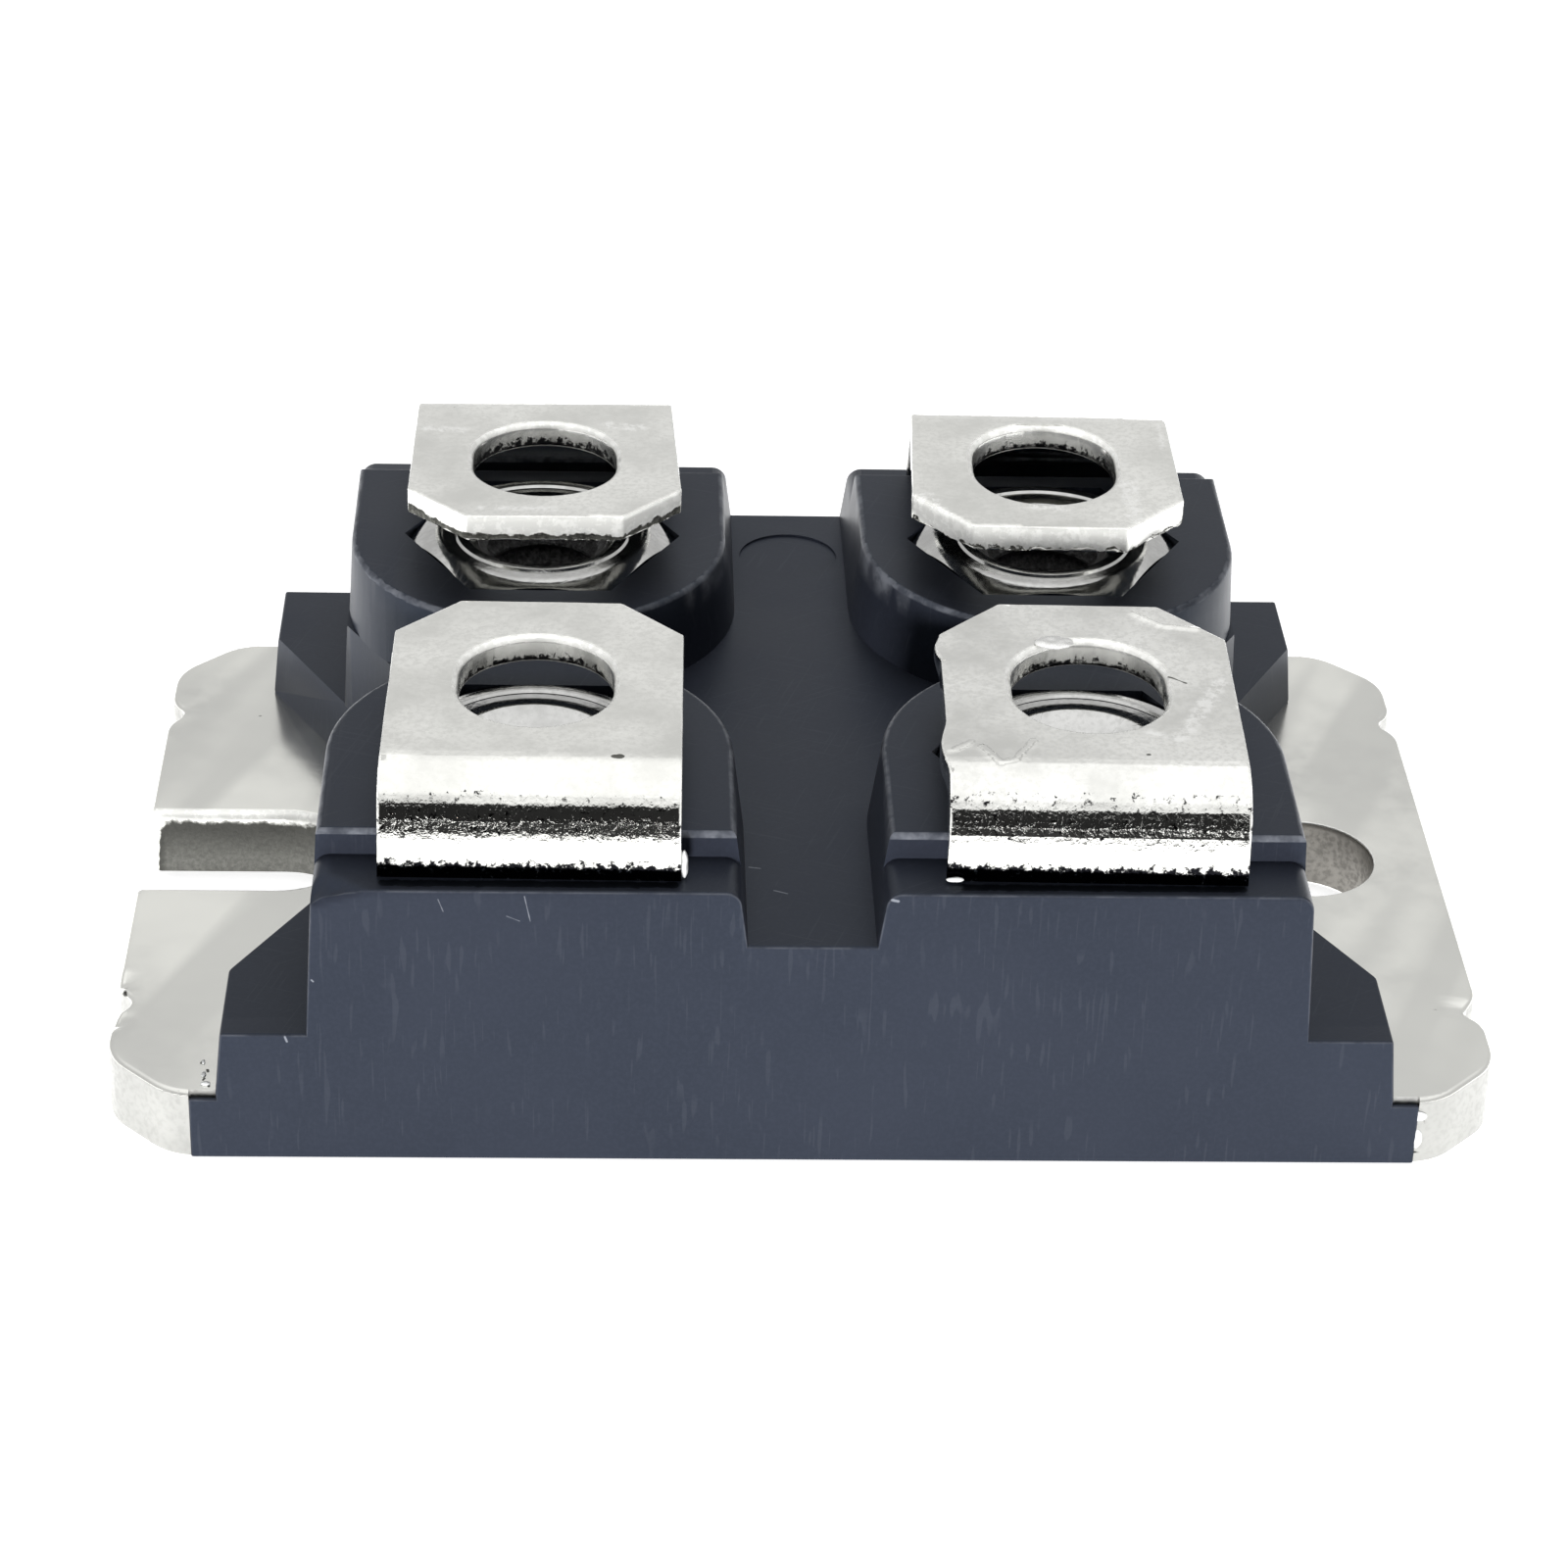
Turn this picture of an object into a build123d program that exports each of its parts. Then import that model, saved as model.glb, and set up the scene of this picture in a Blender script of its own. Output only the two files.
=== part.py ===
from build123d import *
import math
import os

# Power transistor module with a metal base and four screw terminals.
# Millimetres, Z up. The origin is the centre of the base's underside.
# X runs along the base from the open slot to the round hole. The terminals
# stand in two rows, at the front (-Y) and at the back (+Y).

# Layout of the terminals, which the rest of the module follows
TERMINAL_PITCH_X = 15.0
TERMINAL_PITCH_Y = 12.8

# Terminal strips. The outer reach runs from a hole's axis to the strip's outer face,
# the tip reaches from the axis to the cut tip.
STRIP_WIDTH = 8.0
STRIP_THICKNESS = 0.8
STRIP_OUTER_REACH = 5.6
FRONT_TIP_REACH = 4.55
REAR_TIP_REACH = 4.0
FRONT_BEND_RADIUS = 1.7
MAIN_EMITTER_BEND_RADIUS = 2.1
COLLECTOR_BEND_RADIUS = 3.0
STRIP_FOOT_RADIUS = 1.3
REAR_TAB_TAPER = 0.2
STRIP_TIP_CUT_X = 1.75
STRIP_TIP_CUT_Y = 1.85
STRIP_HOLE_WIDTH = 4.2
STRIP_HOLE_LENGTH = 4.9
FRONT_STRIP_GAP = 1.35
REAR_STRIP_GAP = 1.75
FOOT_WIDTH = 3.2
FOOT_REACH = 4.0
STRIP_FACE_SPACING = TERMINAL_PITCH_Y + 2 * STRIP_OUTER_REACH

# Widths of the housing and the base, from the strips outwards
STRIP_COVER = 0.65
PLATE_INSET = 0.05
SKIRT_WALL = 0.2
BODY_WIDTH = STRIP_FACE_SPACING + 2 * STRIP_COVER
PLATE_WIDTH = BODY_WIDTH - 2 * PLATE_INSET
PLATE_WAIST_WIDTH = BODY_WIDTH - 2 * SKIRT_WALL

# Lengths along the base, from the terminals outwards
TOWER_INNER_REACH = 5.45
TOWER_OUTER_REACH = 5.95
MOUNT_CLEARANCE = 1.65
TIER_REACH = 2.47
SKIRT_REACH = 0.73
PLATE_END_REACH = 3.95
TOWER_GAP = TERMINAL_PITCH_X - 2 * TOWER_INNER_REACH
BODY_LENGTH = TERMINAL_PITCH_X + 2 * TOWER_OUTER_REACH
MOUNT_SPACING = BODY_LENGTH + 2 * MOUNT_CLEARANCE
TIER_LENGTH = BODY_LENGTH + 2 * TIER_REACH
SKIRT_LENGTH = TIER_LENGTH + 2 * SKIRT_REACH
PLATE_LENGTH = MOUNT_SPACING + 2 * PLATE_END_REACH

# Base plate
PLATE_THICKNESS = 2.05
PLATE_CORNER_CUT = 1.85
PLATE_CORNER_RADIUS = 1.8
PLATE_EDGE_RADIUS = 0.15
SLOT_EDGE_RADIUS = 0.25
MOUNT_HOLE_RADIUS = 2.1
NOTCH_RADIUS = 0.55
NOTCH_INSET = 4.45
NOTCH_DEPTH = 0.4
NOTCH_SHOULDER_RADIUS = 1.2

# Moulded housing, with its levels from the base upwards
TIER_HEIGHT = 1.9
BODY_HEIGHT = 2.89
LEDGE_HEIGHT = 1.66
TOWER_STEP = 0.75
TIER_TOP = PLATE_THICKNESS + TIER_HEIGHT
VALLEY_FLOOR = TIER_TOP + BODY_HEIGHT
LEDGE_TOP = VALLEY_FLOOR + LEDGE_HEIGHT
TOWER_TOP = LEDGE_TOP + TOWER_STEP
FRONT_STRIP_TOP = TOWER_TOP + FRONT_STRIP_GAP + STRIP_THICKNESS
REAR_STRIP_TOP = TOWER_TOP + REAR_STRIP_GAP + STRIP_THICKNESS
TIER_DRAFT = 0.18
TIER_CORNER_LENGTH = 3.15
SKIRT_END_DROP = 0.2
RELIEF_RADIUS = 4.0
RELIEF_DRAFT = 0.1
BODY_DRAFT = 0.055
LEDGE_DEPTH = 1.85
TOWER_INNER_DRAFT = 0.14
TOWER_END_DRAFT = 0.07
LEDGE_CORNER_RADIUS = 0.45
TOWER_EDGE_RADIUS = 0.18
EJECTOR_MARK_RADIUS = 1.5
EJECTOR_MARK_INSET = 2.85
EJECTOR_MARK_DEPTH = 0.06

# Terminal nuts and their pockets
NUT_ACROSS_FLATS = 7.0
NUT_HEIGHT = 3.2
NUT_PROUD = 0.15
NUT_BORE_RADIUS = 1.65
NUT_COUNTERSINK = 0.55
NUT_CHAMFER_ANGLE = 30.0
NUT_FACE_INSET = 0.2
POCKET_CLEARANCE = 0.05
SCREW_RELIEF_RADIUS = 2.2
SCREW_RELIEF_DEPTH = 0.8
NUT_TOP = TOWER_TOP + NUT_PROUD
NUT_BASE = NUT_TOP - NUT_HEIGHT

# Insulating substrate: its copper ends round the terminal feet
SOLDER_THICKNESS = 0.1
COPPER_THICKNESS = 0.3
CERAMIC_THICKNESS = 0.63
COPPER_MARGIN = 0.4
COPPER_GAP = 0.6
FOOT_OUTER_MARGIN = 0.1
FOOT_INNER_MARGIN = 0.3
FOOT_TIP_MARGIN = 0.2
EMITTER_TRACK_WIDTH = 2.8
GATE_TRACK_WIDTH = 1.6
GATE_TRACK_END = 0.4

# Cavity in the housing, round the substrate
CAVITY_CLEARANCE = 0.5
STRIP_INNER_COVER = 0.5
BEAD_WIDTH = 0.5
BEAD_INSET = 0.25
BEAD_HEIGHT = 0.2

# Transistor chips on the collector copper, and their bond wires
CHIP_THICKNESS = 0.22
CHIP_GAP = 0.8
CHIP_SIDE_MARGIN = 0.6
CHIP_EMITTER_MARGIN = 2.7
CHIP_GATE_MARGIN = 1.5
CHIP_SOLDER_THICKNESS = 0.08
CHIP_SOLDER_MARGIN = 0.1
WIRE_RADIUS = 0.19
WIRE_COUNT = 5
WIRE_PITCH = 1.1
WIRE_FOOT = 0.9
WIRE_FLATTEN = 0.06
WIRE_LOOP_HEIGHT = 0.57
WIRE_LOOP_COVER = 0.35
EMITTER_WIRE_INSET = 2.15
GATE_WIRE_RADIUS = 0.1
GATE_WIRE_INSET = 0.8

# Levels and limits inside the housing that follow from the sizes above
LOWER_COPPER_BASE = PLATE_THICKNESS + SOLDER_THICKNESS
CERAMIC_BASE = LOWER_COPPER_BASE + COPPER_THICKNESS
UPPER_COPPER_BASE = CERAMIC_BASE + CERAMIC_THICKNESS
UPPER_COPPER_TOP = UPPER_COPPER_BASE + COPPER_THICKNESS
FOOT_BASE = UPPER_COPPER_TOP + SOLDER_THICKNESS
CHIP_BASE = UPPER_COPPER_TOP + CHIP_SOLDER_THICKNESS
CHIP_TOP = CHIP_BASE + CHIP_THICKNESS
WIRE_LOOP_TOP = CHIP_TOP + WIRE_LOOP_HEIGHT
CAVITY_TOP = WIRE_LOOP_TOP + WIRE_LOOP_COVER
CAVITY_WIDTH = STRIP_FACE_SPACING - 2 * (STRIP_THICKNESS + STRIP_INNER_COVER)
CERAMIC_WIDTH = CAVITY_WIDTH - 2 * CAVITY_CLEARANCE
COPPER_EDGE_X = TERMINAL_PITCH_X / 2 + FOOT_WIDTH / 2 + FOOT_OUTER_MARGIN
COPPER_EDGE_Y = CERAMIC_WIDTH / 2 - COPPER_MARGIN
CERAMIC_LENGTH = 2 * (COPPER_EDGE_X + COPPER_MARGIN)
CAVITY_LENGTH = CERAMIC_LENGTH + 2 * CAVITY_CLEARANCE
PAD_X = TERMINAL_PITCH_X / 2 - FOOT_WIDTH / 2 - FOOT_INNER_MARGIN
PAD_Y = STRIP_FACE_SPACING / 2 - FOOT_REACH - FOOT_TIP_MARGIN
COLLECTOR_LEFT = EMITTER_TRACK_WIDTH + COPPER_GAP - COPPER_EDGE_X
COLLECTOR_RIGHT = COPPER_EDGE_X - GATE_TRACK_WIDTH - COPPER_GAP
COLLECTOR_Y = PAD_Y - COPPER_GAP
CHIP_LEFT = COLLECTOR_LEFT + CHIP_EMITTER_MARGIN
CHIP_RIGHT = COLLECTOR_RIGHT - CHIP_GATE_MARGIN
CHIP_NEAR = CHIP_GAP / 2
CHIP_FAR = COLLECTOR_Y - CHIP_SIDE_MARGIN
GATE_WIRE_Y = CHIP_NEAR + GATE_WIRE_INSET

# Rise of each tab towards its tip, and turn of each strip about its foot, in degrees
SENSE_EMITTER_ANGLES = (0.0, -0.8)
GATE_ANGLES = (0.8, -1.0)
MAIN_EMITTER_ANGLES = (1.0, 0.8)
COLLECTOR_ANGLES = (-1.5, -1.2)

# Tabs: top of the strip at its hole and reach of its tip from the hole's axis
FRONT_TAB = (FRONT_STRIP_TOP, FRONT_TIP_REACH)
REAR_TAB = (REAR_STRIP_TOP, REAR_TIP_REACH)

# Each terminal: side in X, side in Y, tab, bend radius and angles
TERMINALS = {
    "sense_emitter_terminal": (-1, -1, FRONT_TAB, FRONT_BEND_RADIUS, SENSE_EMITTER_ANGLES),
    "gate_terminal": (1, -1, FRONT_TAB, FRONT_BEND_RADIUS, GATE_ANGLES),
    "main_emitter_terminal": (-1, 1, REAR_TAB, MAIN_EMITTER_BEND_RADIUS, MAIN_EMITTER_ANGLES),
    "collector_terminal": (1, 1, REAR_TAB, COLLECTOR_BEND_RADIUS, COLLECTOR_ANGLES),
}


def block(x0, x1, y0, y1, z0, z1):
    """Return a box between the given limits."""
    size = Box(x1 - x0, y1 - y0, z1 - z0)
    return Pos((x0 + x1) / 2, (y0 + y1) / 2, (z0 + z1) / 2) * size


def relief_outline(half_length, half_width, corner_length, relief_radius):
    """Return a body outline whose ends draw in tangent to the mounting hole reliefs."""
    hole_x = MOUNT_SPACING / 2
    corner_y = half_width - corner_length
    reach = math.hypot(half_length - hole_x, corner_y)
    angle = math.atan2(corner_y, half_length - hole_x) + math.acos(relief_radius / reach)
    touch_x = hole_x + relief_radius * math.cos(angle)
    touch_y = relief_radius * math.sin(angle)
    edges = []
    for side in (1, -1):
        corners = [
            (side * half_length, side * half_width),
            (side * half_length, side * corner_y),
            (side * touch_x, side * touch_y),
        ]
        arc = [
            (side * touch_x, side * touch_y),
            (side * (hole_x - relief_radius), 0),
            (side * touch_x, -side * touch_y),
        ]
        far = [
            (side * touch_x, -side * touch_y),
            (side * half_length, -side * corner_y),
            (side * half_length, -side * half_width),
            (-side * half_length, -side * half_width),
        ]
        edges += [Polyline(*corners), ThreePointArc(*arc), Polyline(*far)]
    return make_face(Curve() + edges)


def tower_outline(inner_x, outer_x, end_y, front_y):
    """Return the D shape of a terminal tower, with its round end towards the middle."""
    radius = (outer_x - inner_x) / 2
    middle = (outer_x + inner_x) / 2
    straight = Polyline(
        (inner_x, end_y + radius),
        (inner_x, front_y),
        (outer_x, front_y),
        (outer_x, end_y + radius),
    )
    end = ThreePointArc((outer_x, end_y + radius), (middle, end_y), (inner_x, end_y + radius))
    return make_face(Curve() + [straight, end])


def make_base_plate():
    """Return the plate with its waist, hole, open slot and end notches."""
    outline = Rectangle(PLATE_LENGTH, PLATE_WIDTH)
    outline = chamfer(outline.vertices(), PLATE_CORNER_CUT)
    outline = fillet(outline.vertices(), PLATE_CORNER_RADIUS)
    half_x = PLATE_LENGTH / 2
    notch_y = PLATE_WIDTH / 2 - NOTCH_INSET
    for side_x in (-1, 1):
        for side_y in (-1, 1):
            notch_x = side_x * (half_x + NOTCH_RADIUS - NOTCH_DEPTH)
            outline -= Pos(notch_x, side_y * notch_y) * Circle(NOTCH_RADIUS)
    shoulders = [corner for corner in outline.vertices() if abs(abs(corner.Y) - notch_y) < NOTCH_RADIUS]
    outline = fillet(shoulders, NOTCH_SHOULDER_RADIUS)
    plate = extrude(outline, PLATE_THICKNESS)
    top_edges = plate.faces().sort_by(Axis.Z)[-1].outer_wire().edges()
    plate = fillet(top_edges, PLATE_EDGE_RADIUS)
    waist_y = PLATE_WAIST_WIDTH / 2
    for side_y in (-1, 1):
        near, far = sorted((side_y * waist_y, side_y * PLATE_WIDTH))
        plate -= block(-SKIRT_LENGTH / 2, SKIRT_LENGTH / 2, near, far, 0, PLATE_THICKNESS)
    mount_x = MOUNT_SPACING / 2
    hole = Cylinder(MOUNT_HOLE_RADIUS, 3 * PLATE_THICKNESS)
    plate -= Pos(mount_x, 0, 0) * hole
    plate -= Pos(-mount_x, 0, 0) * hole
    plate -= block(-PLATE_LENGTH, -mount_x, -MOUNT_HOLE_RADIUS, MOUNT_HOLE_RADIUS, -1, PLATE_THICKNESS + 1)
    slot_edges = []
    for edge in plate.edges():
        centre = edge.center()
        on_top = abs(centre.Z - PLATE_THICKNESS) < 0.01
        in_slot = centre.X < MOUNT_HOLE_RADIUS - mount_x and abs(centre.Y) < MOUNT_HOLE_RADIUS + 0.01
        if on_top and in_slot and centre.X > PLATE_EDGE_RADIUS - half_x + 0.1:
            slot_edges.append(edge)
    return fillet(slot_edges, SLOT_EDGE_RADIUS)


def make_tower():
    """Return the rear right tower, drafted, with its ledge along the outer side."""
    half_gap = TOWER_GAP / 2
    drop = TOWER_TOP - VALLEY_FLOOR
    rise = TOWER_TOP - TIER_TOP
    outer_low = BODY_LENGTH / 2 - BODY_DRAFT * (VALLEY_FLOOR - TIER_TOP)
    outer_high = BODY_LENGTH / 2 - BODY_DRAFT * rise
    radius = (outer_high - half_gap) / 2
    end_y = TERMINAL_PITCH_Y / 2 - radius
    front_y = BODY_WIDTH / 2
    low = tower_outline(half_gap - TOWER_INNER_DRAFT * drop, outer_low, end_y - TOWER_END_DRAFT * drop, front_y)
    high = tower_outline(half_gap, outer_high, end_y, front_y)
    tower = loft([Pos(0, 0, VALLEY_FLOOR) * low, Pos(0, 0, TOWER_TOP) * high], ruled=True)
    step_y = front_y - LEDGE_DEPTH
    tower -= block(0, BODY_LENGTH, step_y, BODY_WIDTH, LEDGE_TOP, TOWER_TOP + 1)
    sides = []
    for edge in tower.edges():
        centre = edge.center()
        on_ledge = abs(centre.Z - LEDGE_TOP) < 0.01 and centre.Y > step_y + 0.1
        if on_ledge and centre.Y < front_y - 0.1:
            sides.append(edge)
    tower = fillet(sides, LEDGE_CORNER_RADIUS)
    rim = tower.faces().sort_by(Axis.Z)[-1].outer_wire().edges()
    return fillet(rim, TOWER_EDGE_RADIUS)


def make_nut_pocket():
    """Return the cutter for one hexagonal pocket and the screw relief below it."""
    hexagon = RegularPolygon(NUT_ACROSS_FLATS / 2 + POCKET_CLEARANCE, 6, major_radius=False)
    pocket = Pos(0, 0, NUT_BASE) * extrude(hexagon, NUT_HEIGHT + 1)
    relief = Cylinder(SCREW_RELIEF_RADIUS, SCREW_RELIEF_DEPTH + 1)
    return pocket + Pos(0, 0, NUT_BASE + 1 - (SCREW_RELIEF_DEPTH + 1) / 2) * relief


def make_housing(cavity, bead, terminals):
    """Return the moulded housing, closed round the cavity and the terminal strips."""
    tier_low = relief_outline(TIER_LENGTH / 2, BODY_WIDTH / 2, TIER_CORNER_LENGTH, RELIEF_RADIUS)
    tier_high = relief_outline(
        TIER_LENGTH / 2 - TIER_DRAFT,
        BODY_WIDTH / 2,
        TIER_CORNER_LENGTH,
        RELIEF_RADIUS + RELIEF_DRAFT,
    )
    tier = loft([Pos(0, 0, PLATE_THICKNESS) * tier_low, Pos(0, 0, TIER_TOP) * tier_high], ruled=True)
    body_outline = relief_outline(TIER_LENGTH / 2, BODY_WIDTH / 2, TIER_CORNER_LENGTH, RELIEF_RADIUS + RELIEF_DRAFT)
    body = Pos(0, 0, TIER_TOP) * extrude(body_outline, VALLEY_FLOOR - TIER_TOP)
    floor_inset = BODY_DRAFT * (VALLEY_FLOOR - TIER_TOP)
    body_low = Rectangle(BODY_LENGTH, BODY_WIDTH)
    body_high = Rectangle(BODY_LENGTH - 2 * floor_inset, BODY_WIDTH)
    body &= loft([Pos(0, 0, TIER_TOP) * body_low, Pos(0, 0, VALLEY_FLOOR) * body_high], ruled=True)
    housing = tier + body
    waist_y = PLATE_WAIST_WIDTH / 2
    for side_y in (-1, 1):
        near, far = sorted((side_y * waist_y, side_y * BODY_WIDTH / 2))
        skirt_end_top = PLATE_THICKNESS - SKIRT_END_DROP
        housing += block(-TIER_LENGTH / 2, TIER_LENGTH / 2, near, far, 0, PLATE_THICKNESS)
        housing += block(-SKIRT_LENGTH / 2, SKIRT_LENGTH / 2, near, far, 0, skirt_end_top)
    tower = make_tower()
    rear = tower + mirror(tower, Plane.YZ)
    housing += rear + mirror(rear, Plane.XZ)
    pocket = make_nut_pocket()
    for side_x in (-1, 1):
        for side_y in (-1, 1):
            housing -= Pos(side_x * TERMINAL_PITCH_X / 2, side_y * TERMINAL_PITCH_Y / 2, 0) * pocket
    mark = Cylinder(EJECTOR_MARK_RADIUS, 2 * EJECTOR_MARK_DEPTH)
    housing -= Pos(0, BODY_WIDTH / 2 - EJECTOR_MARK_INSET, VALLEY_FLOOR) * mark
    housing -= cavity
    housing -= bead
    for strip in terminals:
        housing -= strip
    return housing


def make_cavity():
    """Return the space in the housing over the substrate."""
    half_x = CAVITY_LENGTH / 2
    half_y = CAVITY_WIDTH / 2
    return block(-half_x, half_x, -half_y, half_y, PLATE_THICKNESS, CAVITY_TOP)


def make_bead():
    """Return the adhesive bead in a groove round the cavity."""
    inner = Rectangle(CAVITY_LENGTH + 2 * BEAD_INSET, CAVITY_WIDTH + 2 * BEAD_INSET)
    reach = 2 * (BEAD_INSET + BEAD_WIDTH)
    outer = Rectangle(CAVITY_LENGTH + reach, CAVITY_WIDTH + reach)
    return Pos(0, 0, PLATE_THICKNESS) * extrude(outer - inner, BEAD_HEIGHT)


def strip_profile(top, tip_reach, bend_radius, rise):
    """Return the side view of a strip: foot, leg, bend and sloping screw tab."""
    face_y = STRIP_FACE_SPACING / 2
    inner_y = face_y - STRIP_THICKNESS
    hole_y = TERMINAL_PITCH_Y / 2
    tip_y = hole_y - tip_reach
    slope = math.tan(math.radians(rise))
    corners = [
        (face_y - FOOT_REACH, FOOT_BASE),
        (face_y, FOOT_BASE),
        (face_y, top - slope * (face_y - hole_y)),
        (tip_y, top + slope * tip_reach),
        (tip_y, top + slope * tip_reach - STRIP_THICKNESS),
        (inner_y, top - slope * (inner_y - hole_y) - STRIP_THICKNESS),
        (inner_y, FOOT_BASE + STRIP_THICKNESS),
        (face_y - FOOT_REACH, FOOT_BASE + STRIP_THICKNESS),
    ]
    face = make_face(Polyline(*corners, close=True))
    radii = {
        1: STRIP_FOOT_RADIUS,
        2: bend_radius,
        5: bend_radius - STRIP_THICKNESS,
        6: STRIP_FOOT_RADIUS - STRIP_THICKNESS,
    }
    for index, radius in radii.items():
        corner = face.vertices().sort_by_distance((corners[index][0], corners[index][1], 0))[0]
        face = fillet(corner, radius)
    return face


def make_terminal(side_x, side_y, tab, bend_radius, angles):
    """Return one terminal strip in its place."""
    top, tip_reach = tab
    rise, turn = angles
    profile = strip_profile(top, tip_reach, bend_radius, rise)
    strip = extrude(Plane.YZ * profile, STRIP_WIDTH / 2, both=True)
    half_width = STRIP_WIDTH / 2
    face_y = STRIP_FACE_SPACING / 2
    tip_y = TERMINAL_PITCH_Y / 2 - tip_reach
    shoulder_y = tip_y + STRIP_TIP_CUT_Y
    for side in (-1, 1):
        cut = Polyline(
            (side * (half_width - STRIP_TIP_CUT_X), tip_y),
            (side * (half_width + 1), tip_y - 1),
            (side * half_width, shoulder_y),
            close=True,
        )
        strip -= Pos(0, 0, TOWER_TOP) * extrude(make_face(cut), top)
        if side_y > 0:
            taper = Polyline(
                (side * half_width, shoulder_y),
                (side * (half_width + 1), face_y),
                (side * (half_width - REAR_TAB_TAPER), face_y),
                close=True,
            )
            strip -= extrude(make_face(taper), 2 * top)
        near, far = sorted((side * FOOT_WIDTH / 2, side * STRIP_WIDTH))
        foot_y = CAVITY_WIDTH / 2
        strip -= block(near, far, 0, foot_y, FOOT_BASE - 1, CAVITY_TOP)
    slot = SlotOverall(STRIP_HOLE_LENGTH, STRIP_HOLE_WIDTH, rotation=90)
    strip -= Pos(0, TERMINAL_PITCH_Y / 2, TOWER_TOP) * extrude(slot, top)
    pivot = Pos(0, face_y, 0)
    strip = pivot * Rot(0, 0, side_y * turn) * pivot.inverse() * strip
    if side_y < 0:
        strip = mirror(strip, Plane.XZ)
    return Pos(side_x * TERMINAL_PITCH_X / 2, 0, 0) * strip


def make_terminal_solder(side_x, side_y):
    """Return the solder under one terminal foot."""
    foot_end = STRIP_FACE_SPACING / 2 - FOOT_REACH
    middle = side_x * TERMINAL_PITCH_X / 2
    half = FOOT_WIDTH / 2
    near, far = sorted((side_y * foot_end, side_y * COPPER_EDGE_Y))
    return block(middle - half, middle + half, near, far, UPPER_COPPER_TOP, FOOT_BASE)


def make_nut():
    """Return one hexagon nut standing at its own place in the pocket."""
    hexagon = RegularPolygon(NUT_ACROSS_FLATS / 2, 6, major_radius=False)
    nut = extrude(hexagon, NUT_HEIGHT)
    corner = NUT_ACROSS_FLATS / math.sqrt(3)
    face_radius = NUT_ACROSS_FLATS / 2 - NUT_FACE_INSET
    drop = (corner - face_radius) * math.tan(math.radians(NUT_CHAMFER_ANGLE))
    turned = Polyline(
        (0, 0),
        (face_radius, 0),
        (corner, drop),
        (corner, NUT_HEIGHT - drop),
        (face_radius, NUT_HEIGHT),
        (0, NUT_HEIGHT),
        close=True,
    )
    nut &= revolve(Plane.XZ * make_face(turned), Axis.Z)
    bore = Polyline(
        (0, 0),
        (NUT_BORE_RADIUS + NUT_COUNTERSINK, 0),
        (NUT_BORE_RADIUS, NUT_COUNTERSINK),
        (NUT_BORE_RADIUS, NUT_HEIGHT - NUT_COUNTERSINK),
        (NUT_BORE_RADIUS + NUT_COUNTERSINK, NUT_HEIGHT),
        (0, NUT_HEIGHT),
        close=True,
    )
    nut -= revolve(Plane.XZ * make_face(bore), Axis.Z)
    return nut


def make_nuts():
    """Return the four nuts as separate solids."""
    nut = make_nut()
    places = []
    for side_x in (-1, 1):
        for side_y in (-1, 1):
            places.append(Pos(side_x * TERMINAL_PITCH_X / 2, side_y * TERMINAL_PITCH_Y / 2, NUT_BASE) * nut)
    return Compound(children=[Solid(place.solid().wrapped) for place in places])


def make_substrate():
    """Return the layers below the chips: solder, lower copper and ceramic."""
    half_x = CERAMIC_LENGTH / 2
    half_y = CERAMIC_WIDTH / 2
    edge_x, edge_y = COPPER_EDGE_X, COPPER_EDGE_Y
    return {
        "base_solder": block(-edge_x, edge_x, -edge_y, edge_y, PLATE_THICKNESS, LOWER_COPPER_BASE),
        "substrate_lower_copper": block(-edge_x, edge_x, -edge_y, edge_y, LOWER_COPPER_BASE, CERAMIC_BASE),
        "substrate_ceramic": block(-half_x, half_x, -half_y, half_y, CERAMIC_BASE, UPPER_COPPER_BASE),
    }


def make_tracks():
    """Return the emitter, collector and gate copper on top of the ceramic."""
    edge_x, edge_y = COPPER_EDGE_X, COPPER_EDGE_Y
    low, high = UPPER_COPPER_BASE, UPPER_COPPER_TOP
    emitter = block(-edge_x, EMITTER_TRACK_WIDTH - edge_x, -edge_y, edge_y, low, high)
    emitter += block(-edge_x, -PAD_X, PAD_Y, edge_y, low, high)
    emitter += block(-edge_x, -PAD_X, -edge_y, -PAD_Y, low, high)
    gate_end = GATE_WIRE_Y + GATE_TRACK_END
    gate = block(PAD_X, edge_x, -edge_y, -PAD_Y, low, high)
    gate += block(edge_x - GATE_TRACK_WIDTH, edge_x, -PAD_Y, gate_end, low, high)
    collector = block(COLLECTOR_LEFT, COLLECTOR_RIGHT, -COLLECTOR_Y, COLLECTOR_Y, low, high)
    collector += block(COLLECTOR_RIGHT, edge_x, gate_end + COPPER_GAP, COLLECTOR_Y, low, high)
    collector += block(PAD_X, edge_x, COLLECTOR_Y, edge_y, low, high)
    return {"emitter_copper": emitter, "collector_copper": collector, "gate_copper": gate}


def make_chip(side_y):
    """Return one chip and the solder under it."""
    near, far = sorted((side_y * CHIP_NEAR, side_y * CHIP_FAR))
    margin = CHIP_SOLDER_MARGIN
    chip = block(CHIP_LEFT, CHIP_RIGHT, near, far, CHIP_BASE, CHIP_TOP)
    solder = block(
        CHIP_LEFT - margin,
        CHIP_RIGHT + margin,
        near - margin,
        far + margin,
        UPPER_COPPER_TOP,
        CHIP_BASE,
    )
    return chip, solder


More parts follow.
